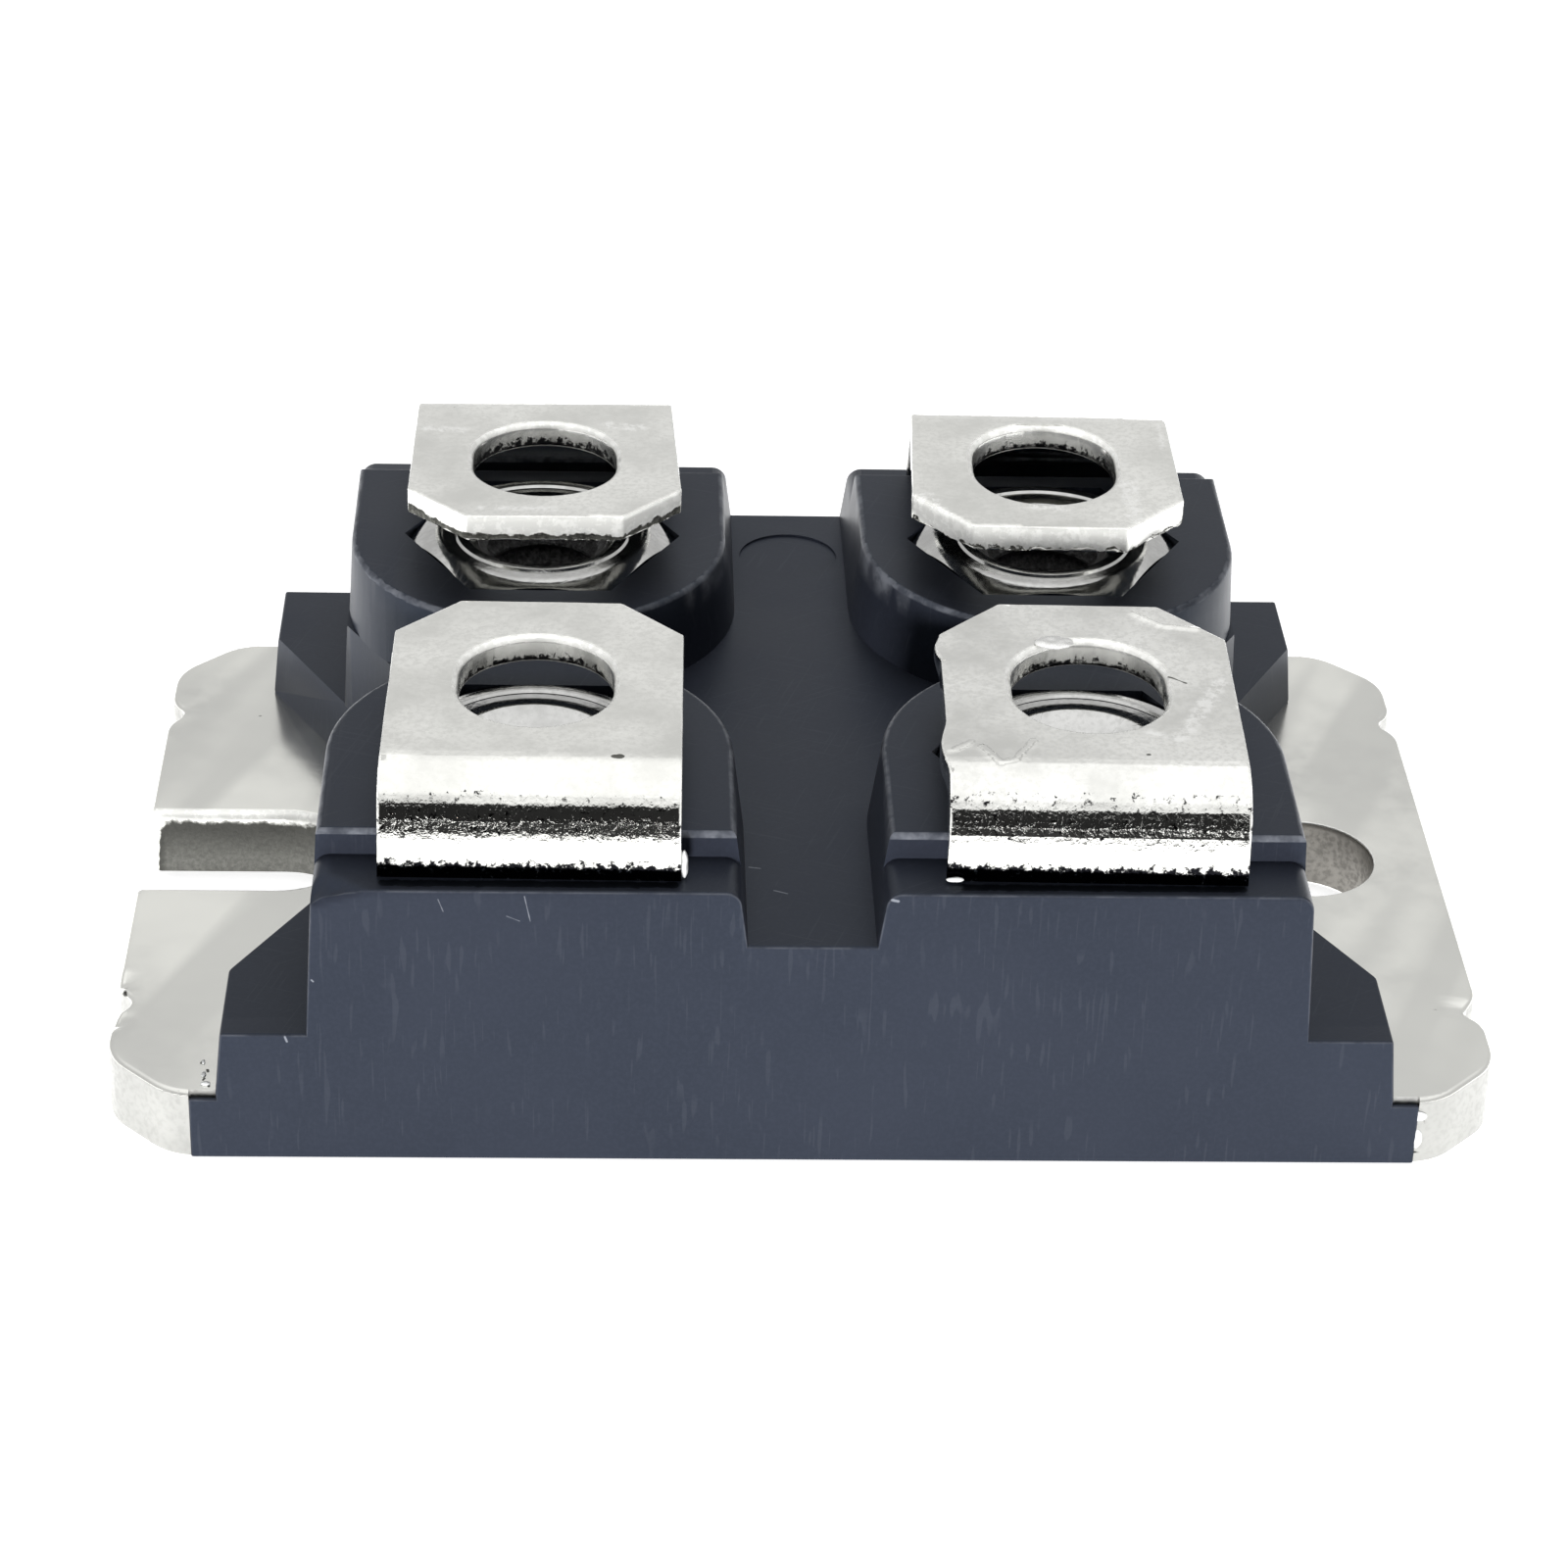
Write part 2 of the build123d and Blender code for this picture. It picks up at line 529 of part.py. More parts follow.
def bond_wire(chip_x, track_x, y, radius):
    """Return one wire looped from the chip's top to a copper track."""
    side = 1 if track_x > chip_x else -1
    foot = side * WIRE_FOOT
    chip_z = CHIP_TOP + radius - WIRE_FLATTEN
    track_z = UPPER_COPPER_TOP + radius - WIRE_FLATTEN
    points = [
        (chip_x - foot / 2, y, chip_z),
        (chip_x + foot / 2, y, chip_z),
        (chip_x + 1.5 * foot, y, WIRE_LOOP_TOP),
        (track_x - 1.5 * foot, y, WIRE_LOOP_TOP),
        (track_x - foot / 2, y, track_z),
        (track_x + foot / 2, y, track_z),
    ]
    path = FilletPolyline(*points, radius=2 * radius)
    section = Plane(origin=points[0], z_dir=(side, 0, 0)) * Circle(radius)
    wire = sweep(section, path=path)
    reach = abs(foot)
    wire -= block(chip_x - reach, chip_x + reach, y - 1, y + 1, CHIP_TOP - 1, CHIP_TOP)
    wire -= block(track_x - reach, track_x + reach, y - 1, y + 1, UPPER_COPPER_TOP - 1, UPPER_COPPER_TOP)
    return wire


def make_emitter_wires(side_y):
    """Return the row of wires from one chip to the emitter copper."""
    track_x = EMITTER_TRACK_WIDTH / 2 - COPPER_EDGE_X
    chip_x = CHIP_LEFT + EMITTER_WIRE_INSET
    first = side_y * (CHIP_NEAR + CHIP_FAR) / 2 - WIRE_PITCH * (WIRE_COUNT - 1) / 2
    wires = [bond_wire(chip_x, track_x, first + WIRE_PITCH * index, WIRE_RADIUS) for index in range(WIRE_COUNT)]
    return Compound(children=[Solid(wire.solid().wrapped) for wire in wires])


def make_gate_wire(side_y):
    """Return the thin wire from one chip's gate corner to the gate copper."""
    track_x = COPPER_EDGE_X - GATE_TRACK_WIDTH / 2
    chip_x = CHIP_RIGHT - GATE_WIRE_INSET
    return bond_wire(chip_x, track_x, side_y * GATE_WIRE_Y, GATE_WIRE_RADIUS)


def build():
    """Return every piece of the module by name."""
    pieces = {"base_plate": make_base_plate()}
    terminals = {name: make_terminal(*values) for name, values in TERMINALS.items()}
    cavity = make_cavity()
    bead = make_bead()
    pieces["housing"] = make_housing(cavity, bead, terminals.values())
    pieces["housing_adhesive"] = bead
    pieces.update(terminals)
    pieces["terminal_nuts"] = make_nuts()
    inner = make_substrate()
    inner.update(make_tracks())
    for name, values in TERMINALS.items():
        inner[name.replace("terminal", "solder")] = make_terminal_solder(values[0], values[1])
    for label, side_y in (("front", -1), ("rear", 1)):
        chip, solder = make_chip(side_y)
        inner[f"{label}_chip"] = chip
        inner[f"{label}_chip_solder"] = solder
        inner[f"{label}_emitter_wires"] = make_emitter_wires(side_y)
        inner[f"{label}_gate_wire"] = make_gate_wire(side_y)
    gel = cavity
    for piece in list(inner.values()) + list(terminals.values()):
        for solid in piece.solids():
            gel -= solid
    pieces.update(inner)
    pieces["silicone_gel"] = gel
    return pieces


os.makedirs("parts", exist_ok=True)
for name, piece in build().items():
    export_step(piece, f"parts/{name}.step")
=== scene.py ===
"""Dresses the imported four-terminal power module, and sets its floor, light and camera.

Sizes are in millimetres in the module's own frame: X runs along the base from the open
slot to the round hole, Z is up, and the origin is the centre of the base's underside.
Meshes are in metres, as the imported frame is.
"""
from __future__ import annotations

import logging
import math
from dataclasses import dataclass, field, replace
from enum import Enum
from typing import Callable, Iterable

import bmesh
import bpy
from bmesh.types import BMesh
from mathutils import Matrix, Vector, noise


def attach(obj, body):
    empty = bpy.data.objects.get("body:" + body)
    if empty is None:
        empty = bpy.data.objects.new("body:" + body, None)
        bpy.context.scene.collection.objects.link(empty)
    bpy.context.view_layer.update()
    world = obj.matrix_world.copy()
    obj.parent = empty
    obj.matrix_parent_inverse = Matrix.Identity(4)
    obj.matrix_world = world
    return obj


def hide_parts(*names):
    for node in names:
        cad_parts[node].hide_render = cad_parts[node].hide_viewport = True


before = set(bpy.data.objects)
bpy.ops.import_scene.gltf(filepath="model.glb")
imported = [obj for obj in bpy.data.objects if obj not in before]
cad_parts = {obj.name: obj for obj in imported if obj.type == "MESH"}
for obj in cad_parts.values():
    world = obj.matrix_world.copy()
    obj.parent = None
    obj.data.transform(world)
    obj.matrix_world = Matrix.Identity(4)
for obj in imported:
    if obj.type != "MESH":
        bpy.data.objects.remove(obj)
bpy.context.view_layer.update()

LOG = logging.getLogger("power_module")
MM = 0.001
BODY = "root"

# Vertices closer than this, in millimetres, count as one
MERGE = 0.002

# Levels and reaches that more than one piece needs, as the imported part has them
PLATE_TOP = 2.05
VALLEY_FLOOR = 6.84
LEDGE_TOP = 8.5
TOWER_TOP = 9.25
FACE_Y = 12.65
PITCH_X = 15.0
PITCH_Y = 12.8

Colour = tuple[float, float, float]
Place = tuple[float, float, float]


class Slot(Enum):
    """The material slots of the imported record."""

    PLATED_COPPER = "plated_copper"
    PLATED_NUT = "plated_nut"
    MOULDING = "moulding"
    BARE_COPPER = "bare_copper"
    SOLDER = "solder"
    CERAMIC = "ceramic"
    SILICON = "silicon"
    WIRE = "wire"
    GEL = "gel"
    ADHESIVE = "adhesive"


class Mark(Enum):
    """The float attributes that pieces carry for their finishes."""

    EDGE = "edge"
    SHEAR = "shear"
    BEND = "bend"
    # Painted shade at the strips' feet and low in their holes, and a painted dark reflection band on the
    # front strips' bends
    PAINTED_SHADE = "painted_shade"


# Shader building


class Nodes:
    """Short calls for building one node tree."""

    def __init__(self, tree: bpy.types.NodeTree) -> None:
        """Start on a tree with nothing in it.

        Args:
            tree: The node tree to build.
        """
        self.tree = tree
        tree.nodes.clear()

    def add(self, kind: str, inputs: dict | None = None, **settings: object) -> bpy.types.Node:
        """Add a node, set it up and link or set its inputs.

        Args:
            kind: The node's Blender type.
            inputs: A value or an output socket for each input, by name or number.
            **settings: The node's own properties.

        Returns:
            The new node.
        """
        node = self.tree.nodes.new(kind)
        for name, value in settings.items():
            setattr(node, name, value)
        for key, value in (inputs or {}).items():
            self.feed(node.inputs[key], value)
        return node

    def feed(self, socket: bpy.types.NodeSocket, value: object) -> None:
        """Link an output to a socket, or set the socket's own value.

        Args:
            socket: The input to feed.
            value: An output socket, a number or a colour.
        """
        if isinstance(value, bpy.types.NodeSocket):
            self.tree.links.new(value, socket)
        elif isinstance(value, tuple) and socket.type == "RGBA":
            socket.default_value = (*value, 1.0)
        else:
            socket.default_value = value

    def math(
        self, operation: str, first: object, second: object = 0.0, clamp: bool = False
    ) -> bpy.types.NodeSocket:
        """Return the output of a Math node.

        Args:
            operation: The node's operation.
            first: Its first value or socket.
            second: Its second value or socket.
            clamp: Whether the result stays between 0 and 1.

        Returns:
            The value socket.
        """
        node = self.add("ShaderNodeMath", {0: first, 1: second}, operation=operation, use_clamp=clamp)
        return node.outputs[0]

    def times(self, first: object, second: object) -> bpy.types.NodeSocket:
        """Return the product of two values."""
        return self.math("MULTIPLY", first, second)

    def plus(self, first: object, second: object) -> bpy.types.NodeSocket:
        """Return the sum of two values."""
        return self.math("ADD", first, second)

    def minus(self, first: object, second: object) -> bpy.types.NodeSocket:
        """Return the first value less the second."""
        return self.math("SUBTRACT", first, second)

    def larger(self, first: object, second: object) -> bpy.types.NodeSocket:
        """Return the larger of two values."""
        return self.math("MAXIMUM", first, second)

    def vector(self, operation: str, first: object, second: object) -> bpy.types.NodeSocket:
        """Return the vector that a Vector Math node makes of two vectors."""
        return self.add("ShaderNodeVectorMath", {0: first, 1: second}, operation=operation).outputs[0]

    def measure(self, operation: str, *vectors: object) -> bpy.types.NodeSocket:
        """Return the number that a Vector Math node makes of one or two vectors."""
        node = self.add("ShaderNodeVectorMath", dict(enumerate(vectors)), operation=operation)
        return node.outputs["Value"]

    def scaled(self, vector: object, scale: object) -> bpy.types.NodeSocket:
        """Return a vector times a number."""
        return self.add("ShaderNodeVectorMath", {0: vector, "Scale": scale}, operation="SCALE").outputs[0]

    def turned(self, vector: object, angle: float) -> bpy.types.NodeSocket:
        """Return a vector turned about Z by an angle in radians."""
        return self.add("ShaderNodeVectorRotate", {"Vector": vector, "Angle": angle}).outputs[0]

    def ramp(
        self, value: object, low: float, high: float, start: float = 0.0, end: float = 1.0
    ) -> bpy.types.NodeSocket:
        """Return a value mapped smoothly from one range to another, held at both ends.

        Args:
            value: The value or socket to map.
            low: Where the map starts.
            high: Where the map ends.
            start: The result at low.
            end: The result at high.

        Returns:
            The mapped value's socket.
        """
        inputs = {"Value": value, "From Min": low, "From Max": high, "To Min": start, "To Max": end}
        node = self.add("ShaderNodeMapRange", inputs, interpolation_type="SMOOTHSTEP")
        return node.outputs["Result"]

    def mix(self, factor: object, first: object, second: object) -> bpy.types.NodeSocket:
        """Return the mix of two colours.

        Args:
            factor: The share of the second colour.
            first: The first colour or socket.
            second: The second colour or socket.

        Returns:
            The colour socket.
        """
        node = self.add("ShaderNodeMix", data_type="RGBA")
        self.feed(node.inputs["Factor"], factor)
        self.feed(node.inputs[6], first)
        self.feed(node.inputs[7], second)
        return node.outputs[2]

    def texture(
        self, place: object, scale: float, detail: float = 2.0, rough: float = 0.5
    ) -> bpy.types.NodeSocket:
        """Return a noise value.

        Args:
            place: The socket with the place to read, in millimetres.
            scale: Noise cells to a millimetre.
            detail: The number of finer layers.
            rough: How strong the finer layers are.

        Returns:
            The noise's value socket.
        """
        inputs = {"Vector": place, "Scale": scale, "Detail": detail, "Roughness": rough}
        return self.add("ShaderNodeTexNoise", inputs).outputs["Fac"]

    def group(self, name: str, inputs: dict) -> bpy.types.Node:
        """Place a shared node group with this material's own values.

        Args:
            name: The group's name.
            inputs: A value or socket for each of the group's inputs.

        Returns:
            The group node.
        """
        node = self.tree.nodes.new("ShaderNodeGroup")
        node.node_tree = bpy.data.node_groups[name]
        for key, value in inputs.items():
            self.feed(node.inputs[key], value)
        return node


def new_group(
    name: str, inputs: dict[str, object], outputs: dict[str, str]
) -> tuple[Nodes, dict, bpy.types.Node]:
    """Start a shader node group with named sockets.

    Args:
        name: The group's name.
        inputs: Each input's default: a number, a colour or None for a vector.
        outputs: Each output's socket type.

    Returns:
        The builder, the group's input sockets by name and its output node.
    """
    tree = bpy.data.node_groups.new(name, "ShaderNodeTree")
    build = Nodes(tree)
    for key, value in inputs.items():
        kind = "NodeSocketFloat"
        if value is None:
            kind = "NodeSocketVector"
        elif isinstance(value, tuple):
            kind = "NodeSocketColor"
        socket = tree.interface.new_socket(name=key, in_out="INPUT", socket_type=kind)
        if isinstance(value, tuple):
            socket.default_value = (*value, 1.0)
        elif value is not None:
            socket.default_value = value
    for key, kind in outputs.items():
        tree.interface.new_socket(name=key, in_out="OUTPUT", socket_type=kind)
    source = build.add("NodeGroupInput")
    return build, {key: source.outputs[key] for key in inputs}, build.add("NodeGroupOutput")


class SharedEffects:
    """The node groups that several finishes use."""

    PLACE = "place_in_millimetres"
    CLOUDS = "soft_clouds"
    GRAIN = "fine_grain"
    SCRATCHES = "hair_scratches"
    SPECKS = "small_specks"
    STROKE = "single_stroke"

    def build(self) -> None:
        """Make every group once."""
        self.place()
        self.clouds()
        self.grain()
        self.scratches()
        self.specks()
        self.stroke()

    def place(self) -> None:
        """Make the group that gives the place on the part in millimetres."""
        build, _, out = new_group(self.PLACE, {}, {"Place": "NodeSocketVector"})
        source = build.add("ShaderNodeTexCoord").outputs["Object"]
        build.feed(out.inputs["Place"], build.scaled(source, 1.0 / MM))

    def clouds(self) -> None:
        """Make the group of large soft patches."""
        inputs = {"Place": None, "Scale": 0.3, "Shift": 0.0}
        build, given, out = new_group(self.CLOUDS, inputs, {"Value": "NodeSocketFloat"})
        moved = build.vector("ADD", given["Place"], given["Shift"])
        large = build.texture(moved, given["Scale"], 3.0, 0.55)
        build.feed(out.inputs["Value"], build.ramp(large, 0.32, 0.68))

    def grain(self) -> None:
        """Make the group of fine surface grain, as a height and a mask."""
        outputs = {"Height": "NodeSocketFloat", "Mask": "NodeSocketFloat"}
        build, given, out = new_group(self.GRAIN, {"Place": None, "Scale": 6.0, "Coarse": 0.5}, outputs)
        fine = build.texture(given["Place"], given["Scale"], 4.0, 0.6)
        wide = build.texture(given["Place"], build.times(given["Scale"], 0.3), 2.0)
        height = build.plus(fine, build.times(wide, given["Coarse"]))
        build.feed(out.inputs["Height"], height)
        build.feed(out.inputs["Mask"], build.ramp(fine, 0.4, 0.66))

    def scratches(self) -> None:
        """Make the group of thin straight scratches in three directions."""
        inputs = {"Place": None, "Length": 4.0, "Amount": 0.5}
        build, given, out = new_group(self.SCRATCHES, inputs, {"Mask": "NodeSocketFloat"})
        stretch = build.math("DIVIDE", 1.0, given["Length"])
        squeeze = build.add("ShaderNodeCombineXYZ", {"X": stretch, "Y": 14.0, "Z": 0.7}).outputs[0]
        every: object = 0.0
        for turn in (0.35, 1.9, 2.6):
            turned = build.turned(given["Place"], turn)
            lines = build.texture(build.vector("MULTIPLY", turned, squeeze), 1.0, 0.0)
            patches = build.texture(turned, 0.5, 0.0)
            thin = build.times(build.ramp(lines, 0.70, 0.76), build.ramp(patches, 0.45, 0.6))
            every = build.larger(every, thin)
        build.feed(out.inputs["Mask"], build.math("MULTIPLY", every, given["Amount"], clamp=True))

    def specks(self) -> None:
        """Make the group of scattered round specks."""
        inputs = {"Place": None, "Scale": 1.0, "Size": 0.1}
        build, given, out = new_group(self.SPECKS, inputs, {"Mask": "NodeSocketFloat"})
        spread = {"Vector": given["Place"], "Scale": given["Scale"], "Randomness": 1.0}
        cells = build.add("ShaderNodeTexVoronoi", spread)
        chosen = build.add("ShaderNodeSeparateColor", {0: cells.outputs["Color"]})
        size = build.times(given["Size"], build.ramp(chosen.outputs[0], 0.55, 1.0))
        inside = build.minus(size, cells.outputs["Distance"])
        build.feed(out.inputs["Mask"], build.ramp(inside, 0.0, 0.03))

    def stroke(self) -> None:
        """Make the group of one straight stroke between two points."""
        build, given, out = new_group(
            self.STROKE,
            {"Place": None, "Start": None, "End": None, "Width": 0.05, "Soft": 0.03},
            {"Mask": "NodeSocketFloat"},
        )
        along = build.vector("SUBTRACT", given["End"], given["Start"])
        from_start = build.vector("SUBTRACT", given["Place"], given["Start"])
        reach = build.measure("DOT_PRODUCT", from_start, along)
        length = build.measure("DOT_PRODUCT", along, along)
        share = build.math("DIVIDE", reach, length, clamp=True)
        away = build.vector("SUBTRACT", from_start, build.scaled(along, share))
        gap = build.measure("LENGTH", away)
        ragged = build.times(build.texture(given["Place"], 5.0), given["Width"])
        near = build.minus(build.plus(ragged, build.times(given["Width"], 0.5)), gap)
        build.feed(out.inputs["Mask"], build.ramp(near, 0.0, given["Soft"]))


# Finishes


@dataclass(frozen=True)
class Stroke:
    """One scratch or dent line on a surface."""

    start: Place
    end: Place
    width: float = 0.05


class Surface(Nodes):
    """Short calls for building one material, with its shader and its place on the part."""

    def __init__(self, material: bpy.types.Material, metallic: float) -> None:
        """Start a material with its shader and its output.

        Args:
            material: The material to build.
            metallic: How metallic it is, from 0 to 1.
        """
        super().__init__(material.node_tree)
        self.shader = self.add("ShaderNodeBsdfPrincipled", {"Metallic": metallic})
        out = self.add("ShaderNodeOutputMaterial", {"Surface": self.shader.outputs[0]})
        out.is_active_output = True
        self.place = self.group(SharedEffects.PLACE, {}).outputs["Place"]

    def look(self, name: str, value: object) -> None:
        """Feed one of the shader's inputs."""
        self.feed(self.shader.inputs[name], value)

    def effect(self, name: str, output: str, **inputs: object) -> bpy.types.NodeSocket:
        """Return one output of a shared effect at this place."""
        return self.group(name, {"Place": self.place, **inputs}).outputs[output]

    def noise(self, scale: float, detail: float, rough: float) -> bpy.types.NodeSocket:
        """Return a noise value at this place."""
        return self.texture(self.place, scale, detail, rough)

    def mark(self, mark: Mark) -> bpy.types.NodeSocket:
        """Return the value of one of the marks that pieces carry."""
        return self.add("ShaderNodeAttribute", attribute_name=mark.value).outputs["Fac"]

    def lines(self, strokes: tuple[Stroke, ...], soft: float = 0.03) -> object:
        """Return the mask of all the given strokes.

        Args:
            strokes: The strokes.
            soft: The width of their soft edges, in millimetres.

        Returns:
            The mask's socket, or 0 for none.
        """
        mask: object = 0.0
        for stroke in strokes:
            given = {"Start": stroke.start, "End": stroke.end, "Width": stroke.width, "Soft": soft}
            mask = self.larger(mask, self.effect(SharedEffects.STROKE, "Mask", **given))
        return mask

    def relief(self, height: object, depth: float) -> None:
        """Give the shader a bump.

        Args:
            height: The height's socket, from 0 to about 1.
            depth: The relief's depth in millimetres.
        """
        bump = self.add("ShaderNodeBump", {"Height": height, "Strength": 1.0, "Distance": depth * MM})
        self.look("Normal", bump.outputs[0])


def shade_of(colour: Colour, level: float) -> Colour:
    """Return a colour made darker or lighter by a factor."""
    return tuple(level * part for part in colour)


@dataclass(frozen=True)
class Finish:
    """A finish that makes one Blender material."""

    name: str
    slot: Slot
    colour: Colour
    roughness: float = 0.4
    metallic: float = 0.0
    cloud_shade: float = 0.82

    def material(self) -> bpy.types.Material:
        """Return this finish's material, made on first use."""
        found = bpy.data.materials.get(self.name)
        if found:
            return found
        made = bpy.data.materials.new(self.name)
        made.use_nodes = True
        made.diffuse_color = (*self.colour, 1.0)
        self.dress(Surface(made, self.metallic))
        return made

    def dress(self, build: Surface) -> None:
        """Give the surface this finish's colour, roughness and relief."""
        clouds = build.effect(SharedEffects.CLOUDS, "Value", Scale=0.6)
        grain = build.group(SharedEffects.GRAIN, {"Place": build.place, "Scale": 9.0})
        build.look("Base Color", build.mix(clouds, shade_of(self.colour, self.cloud_shade), self.colour))
        rough = build.ramp(grain.outputs["Mask"], 0.0, 1.0, self.roughness * 0.85, self.roughness * 1.15)
        build.look("Roughness", rough)
        build.relief(grain.outputs["Height"], 0.004)


@dataclass(frozen=True)
class MouldedPlastic(Finish):
    """Satin blue-grey moulded plastic with rubbed edges carrying a painted highlight, painted shadows and
    handling marks.
    """

    cloud_shade: float = 0.86
    grain_share: float = 0.3
    grain_shade: float = 1.3
    # How dark the painted shadows are
    painted_shadow_level: float = 0.1
    # The rubbed edges' lighter colour: rubbing and a painted highlight line
    rubbed: Colour = (0.20, 0.21, 0.235)
    dust: Colour = (0.32, 0.34, 0.38)
    strokes: tuple[Stroke, ...] = ()
    # The strokes of the painted shadows
    painted_shadows: tuple[Stroke, ...] = ()
    grain_depth: float = 0.0015
    # How strong the rubbing and painted highlight on edges are
    wear_and_highlight: float = 0.6
    hairs: float = 0.02
    speck_share: float = 0.2
    stroke_share: float = 0.45
    specular: float = 0.2
    sheen: Colour = (0.5, 0.7, 1.0)

    def marks_of(self, build: Surface) -> bpy.types.NodeSocket:
        """Return the mask of the dusty specks, hair scratches and strokes."""
        specks = build.effect(SharedEffects.SPECKS, "Mask", Scale=0.5, Size=0.035)
        hairs = build.effect(SharedEffects.SCRATCHES, "Mask", Length=2.5, Amount=self.hairs)
        marks = build.larger(build.times(specks, self.speck_share), hairs)
        return build.larger(marks, build.times(build.lines(self.strokes), self.stroke_share))

    def dress(self, build: Surface) -> None:
        """Give the surface grain, flow marks, rubbed edges with a painted highlight, painted shadows,
        specks and scratches.
        """
        clouds = build.effect(SharedEffects.CLOUDS, "Value", Scale=0.16)
        grain = build.group(SharedEffects.GRAIN, {"Place": build.place, "Scale": 8.0})
        tone = build.mix(clouds, shade_of(self.colour, self.cloud_shade), self.colour)
        speckled = build.times(grain.outputs["Mask"], self.grain_share)
        tone = build.mix(speckled, tone, shade_of(self.colour, self.grain_shade))
        # Rubbed edges and tower rims get a lighter colour: rubbing and a painted highlight line
        patchy = build.ramp(build.noise(1.4, 3.0, 0.6), 0.35, 0.65, 0.25, 1.0)
        worn = build.times(build.times(build.mark(Mark.EDGE), patchy), self.wear_and_highlight)
        tone = build.mix(worn, tone, self.rubbed)
        marks = self.marks_of(build)
        tone = build.mix(marks, tone, self.dust)
        # Painted shadows darken the ledge along the strips' feet
        tone = build.mix(build.lines(self.painted_shadows), tone, shade_of(self.colour, self.painted_shadow_level))
        build.look("Base Color", tone)
        rough = build.ramp(clouds, 0.0, 1.0, self.roughness * 0.92, self.roughness * 1.08)
        build.look("Roughness", rough)
        build.look("Specular IOR Level", self.specular)
        build.look("Specular Tint", self.sheen)
        build.relief(build.minus(grain.outputs["Height"], marks), self.grain_depth)


@dataclass(frozen=True)
class PlatedMetal(Finish):
    """Satin plating with clouds, orange peel, pits, hair scratches and sheared edges.

    A cut face carries the shear mark from 0 at its rolled edge to 1 at its torn edge,
    and painted shade and the painted dark reflection band are carried by the painted shade mark, from 0
    where there is none to 1.
    and a dirty place carries the grime mark from 0 where it is clean to 1.
    """

    shade: Colour = (0.60, 0.60, 0.57)
    torn: Colour = (0.10, 0.10, 0.09)
    bright: Colour = (0.92, 0.92, 0.89)
    cloud_scale: float = 0.35
    peel_scale: float = 3.2
    peel_depth: float = 0.004
    bend_depth: float = 0.0
    # The near-black colour of the painted shade and the painted dark reflection band
    painted_shade: Colour = (0.008, 0.008, 0.01)
    scuffed: Colour = (1.0, 1.0, 0.98)
    crumbling: float = 0.0
    tear_depth: float = 0.05
    grit: float = 1.4
    stain: float = 0.35
    mottle: float = 0.55
    hairs: float = 0.15
    # How strong the painted soft diagonal reflection bands are, in the shade colour
    reflection_bands: float = 0.0
    burnish: float = 0.3
    tear_level: float = 0.74
    tear_spread: float = 0.5
    tear_soft: float = 0.04
    crumb_shade: float = 3.4
    fleck_spread: float = 1.1
    torn_grit: float = 0.35
    hair_grit: float = 0.15
    worn_metal: float = 0.5
    band_turn: float = -1.15
    band_stretch: Place = (0.06, 0.55, 0.1)
    speck_share: float = 0.6
    scuff_share: float = 0.6
    mark_depth: float = 0.006
    # How dark the painted shadows along the raised ridges' sides are
    ridge_shadow: float = 1.1
    ridge_relief: float = 0.02
    strokes: tuple[Stroke, ...] = ()
    ridges: tuple[Stroke, ...] = ()
    scuffs: tuple[Stroke, ...] = ()

    def colour_of(self, build: Surface, fine: bpy.types.NodeSocket) -> bpy.types.NodeSocket:
        """Return the plating's own colour, with its clouds, stains, painted reflection bands and mottle.

        Args:
            build: The surface.
            fine: The fine grain's mask.

        Returns:
            The colour socket.
        """
        clouds = build.effect(SharedEffects.CLOUDS, "Value", Scale=self.cloud_scale)
        stains = build.effect(SharedEffects.CLOUDS, "Value", Scale=1.3, Shift=7.0)
        tone = build.mix(clouds, self.shade, self.colour)
        tone = build.mix(build.times(stains, self.stain), tone, self.colour)
        # Soft diagonal bands of painted reflection
        turned = build.turned(build.place, self.band_turn)
        stretched = build.vector("MULTIPLY", turned, self.band_stretch)
        reflection_bands = build.ramp(build.texture(stretched, 1.0, 1.0), 0.42, 0.62)
        tone = build.mix(build.times(reflection_bands, self.reflection_bands), tone, self.shade)
        return build.mix(build.times(fine, self.mottle), tone, self.shade)

    def marks_of(self, build: Surface, ridges: object) -> bpy.types.NodeSocket:
        """Return the mask of specks, scratches and painted shadows along the sides of raised ridges.

        Args:
            build: The surface.
            ridges: The ridges' mask.

        Returns:
            The mask's socket.
        """
        specks = build.effect(SharedEffects.SPECKS, "Mask", Scale=0.8, Size=0.05)
        marks = build.larger(build.times(specks, self.speck_share), build.lines(self.strokes))
        # The ridges' sides get a painted shadow in the torn colour
        sides = build.times(ridges, build.minus(1.0, ridges))
        return build.larger(marks, build.times(sides, self.ridge_shadow))

    def tears_of(self, build: Surface) -> tuple[bpy.types.NodeSocket, ...]:
        """Return the mask of torn metal, how crumbled it is, and its colour."""
        shear = build.mark(Mark.SHEAR)
        ragged = build.minus(build.noise(3.0, 4.0, 0.65), 0.5)
        level = build.plus(shear, build.times(ragged, self.tear_spread))
        torn = build.ramp(level, self.tear_level - self.tear_soft, self.tear_level + self.tear_soft)
        crumb = build.ramp(build.noise(7.0, 4.0, 0.7), 0.3, 0.7, self.crumbling, 1.0)
        depth = build.times(build.ramp(shear, self.tear_level, 1.0, 0.15, 1.0), crumb)
        return torn, crumb, build.mix(depth, self.torn, shade_of(self.torn, self.crumb_shade))

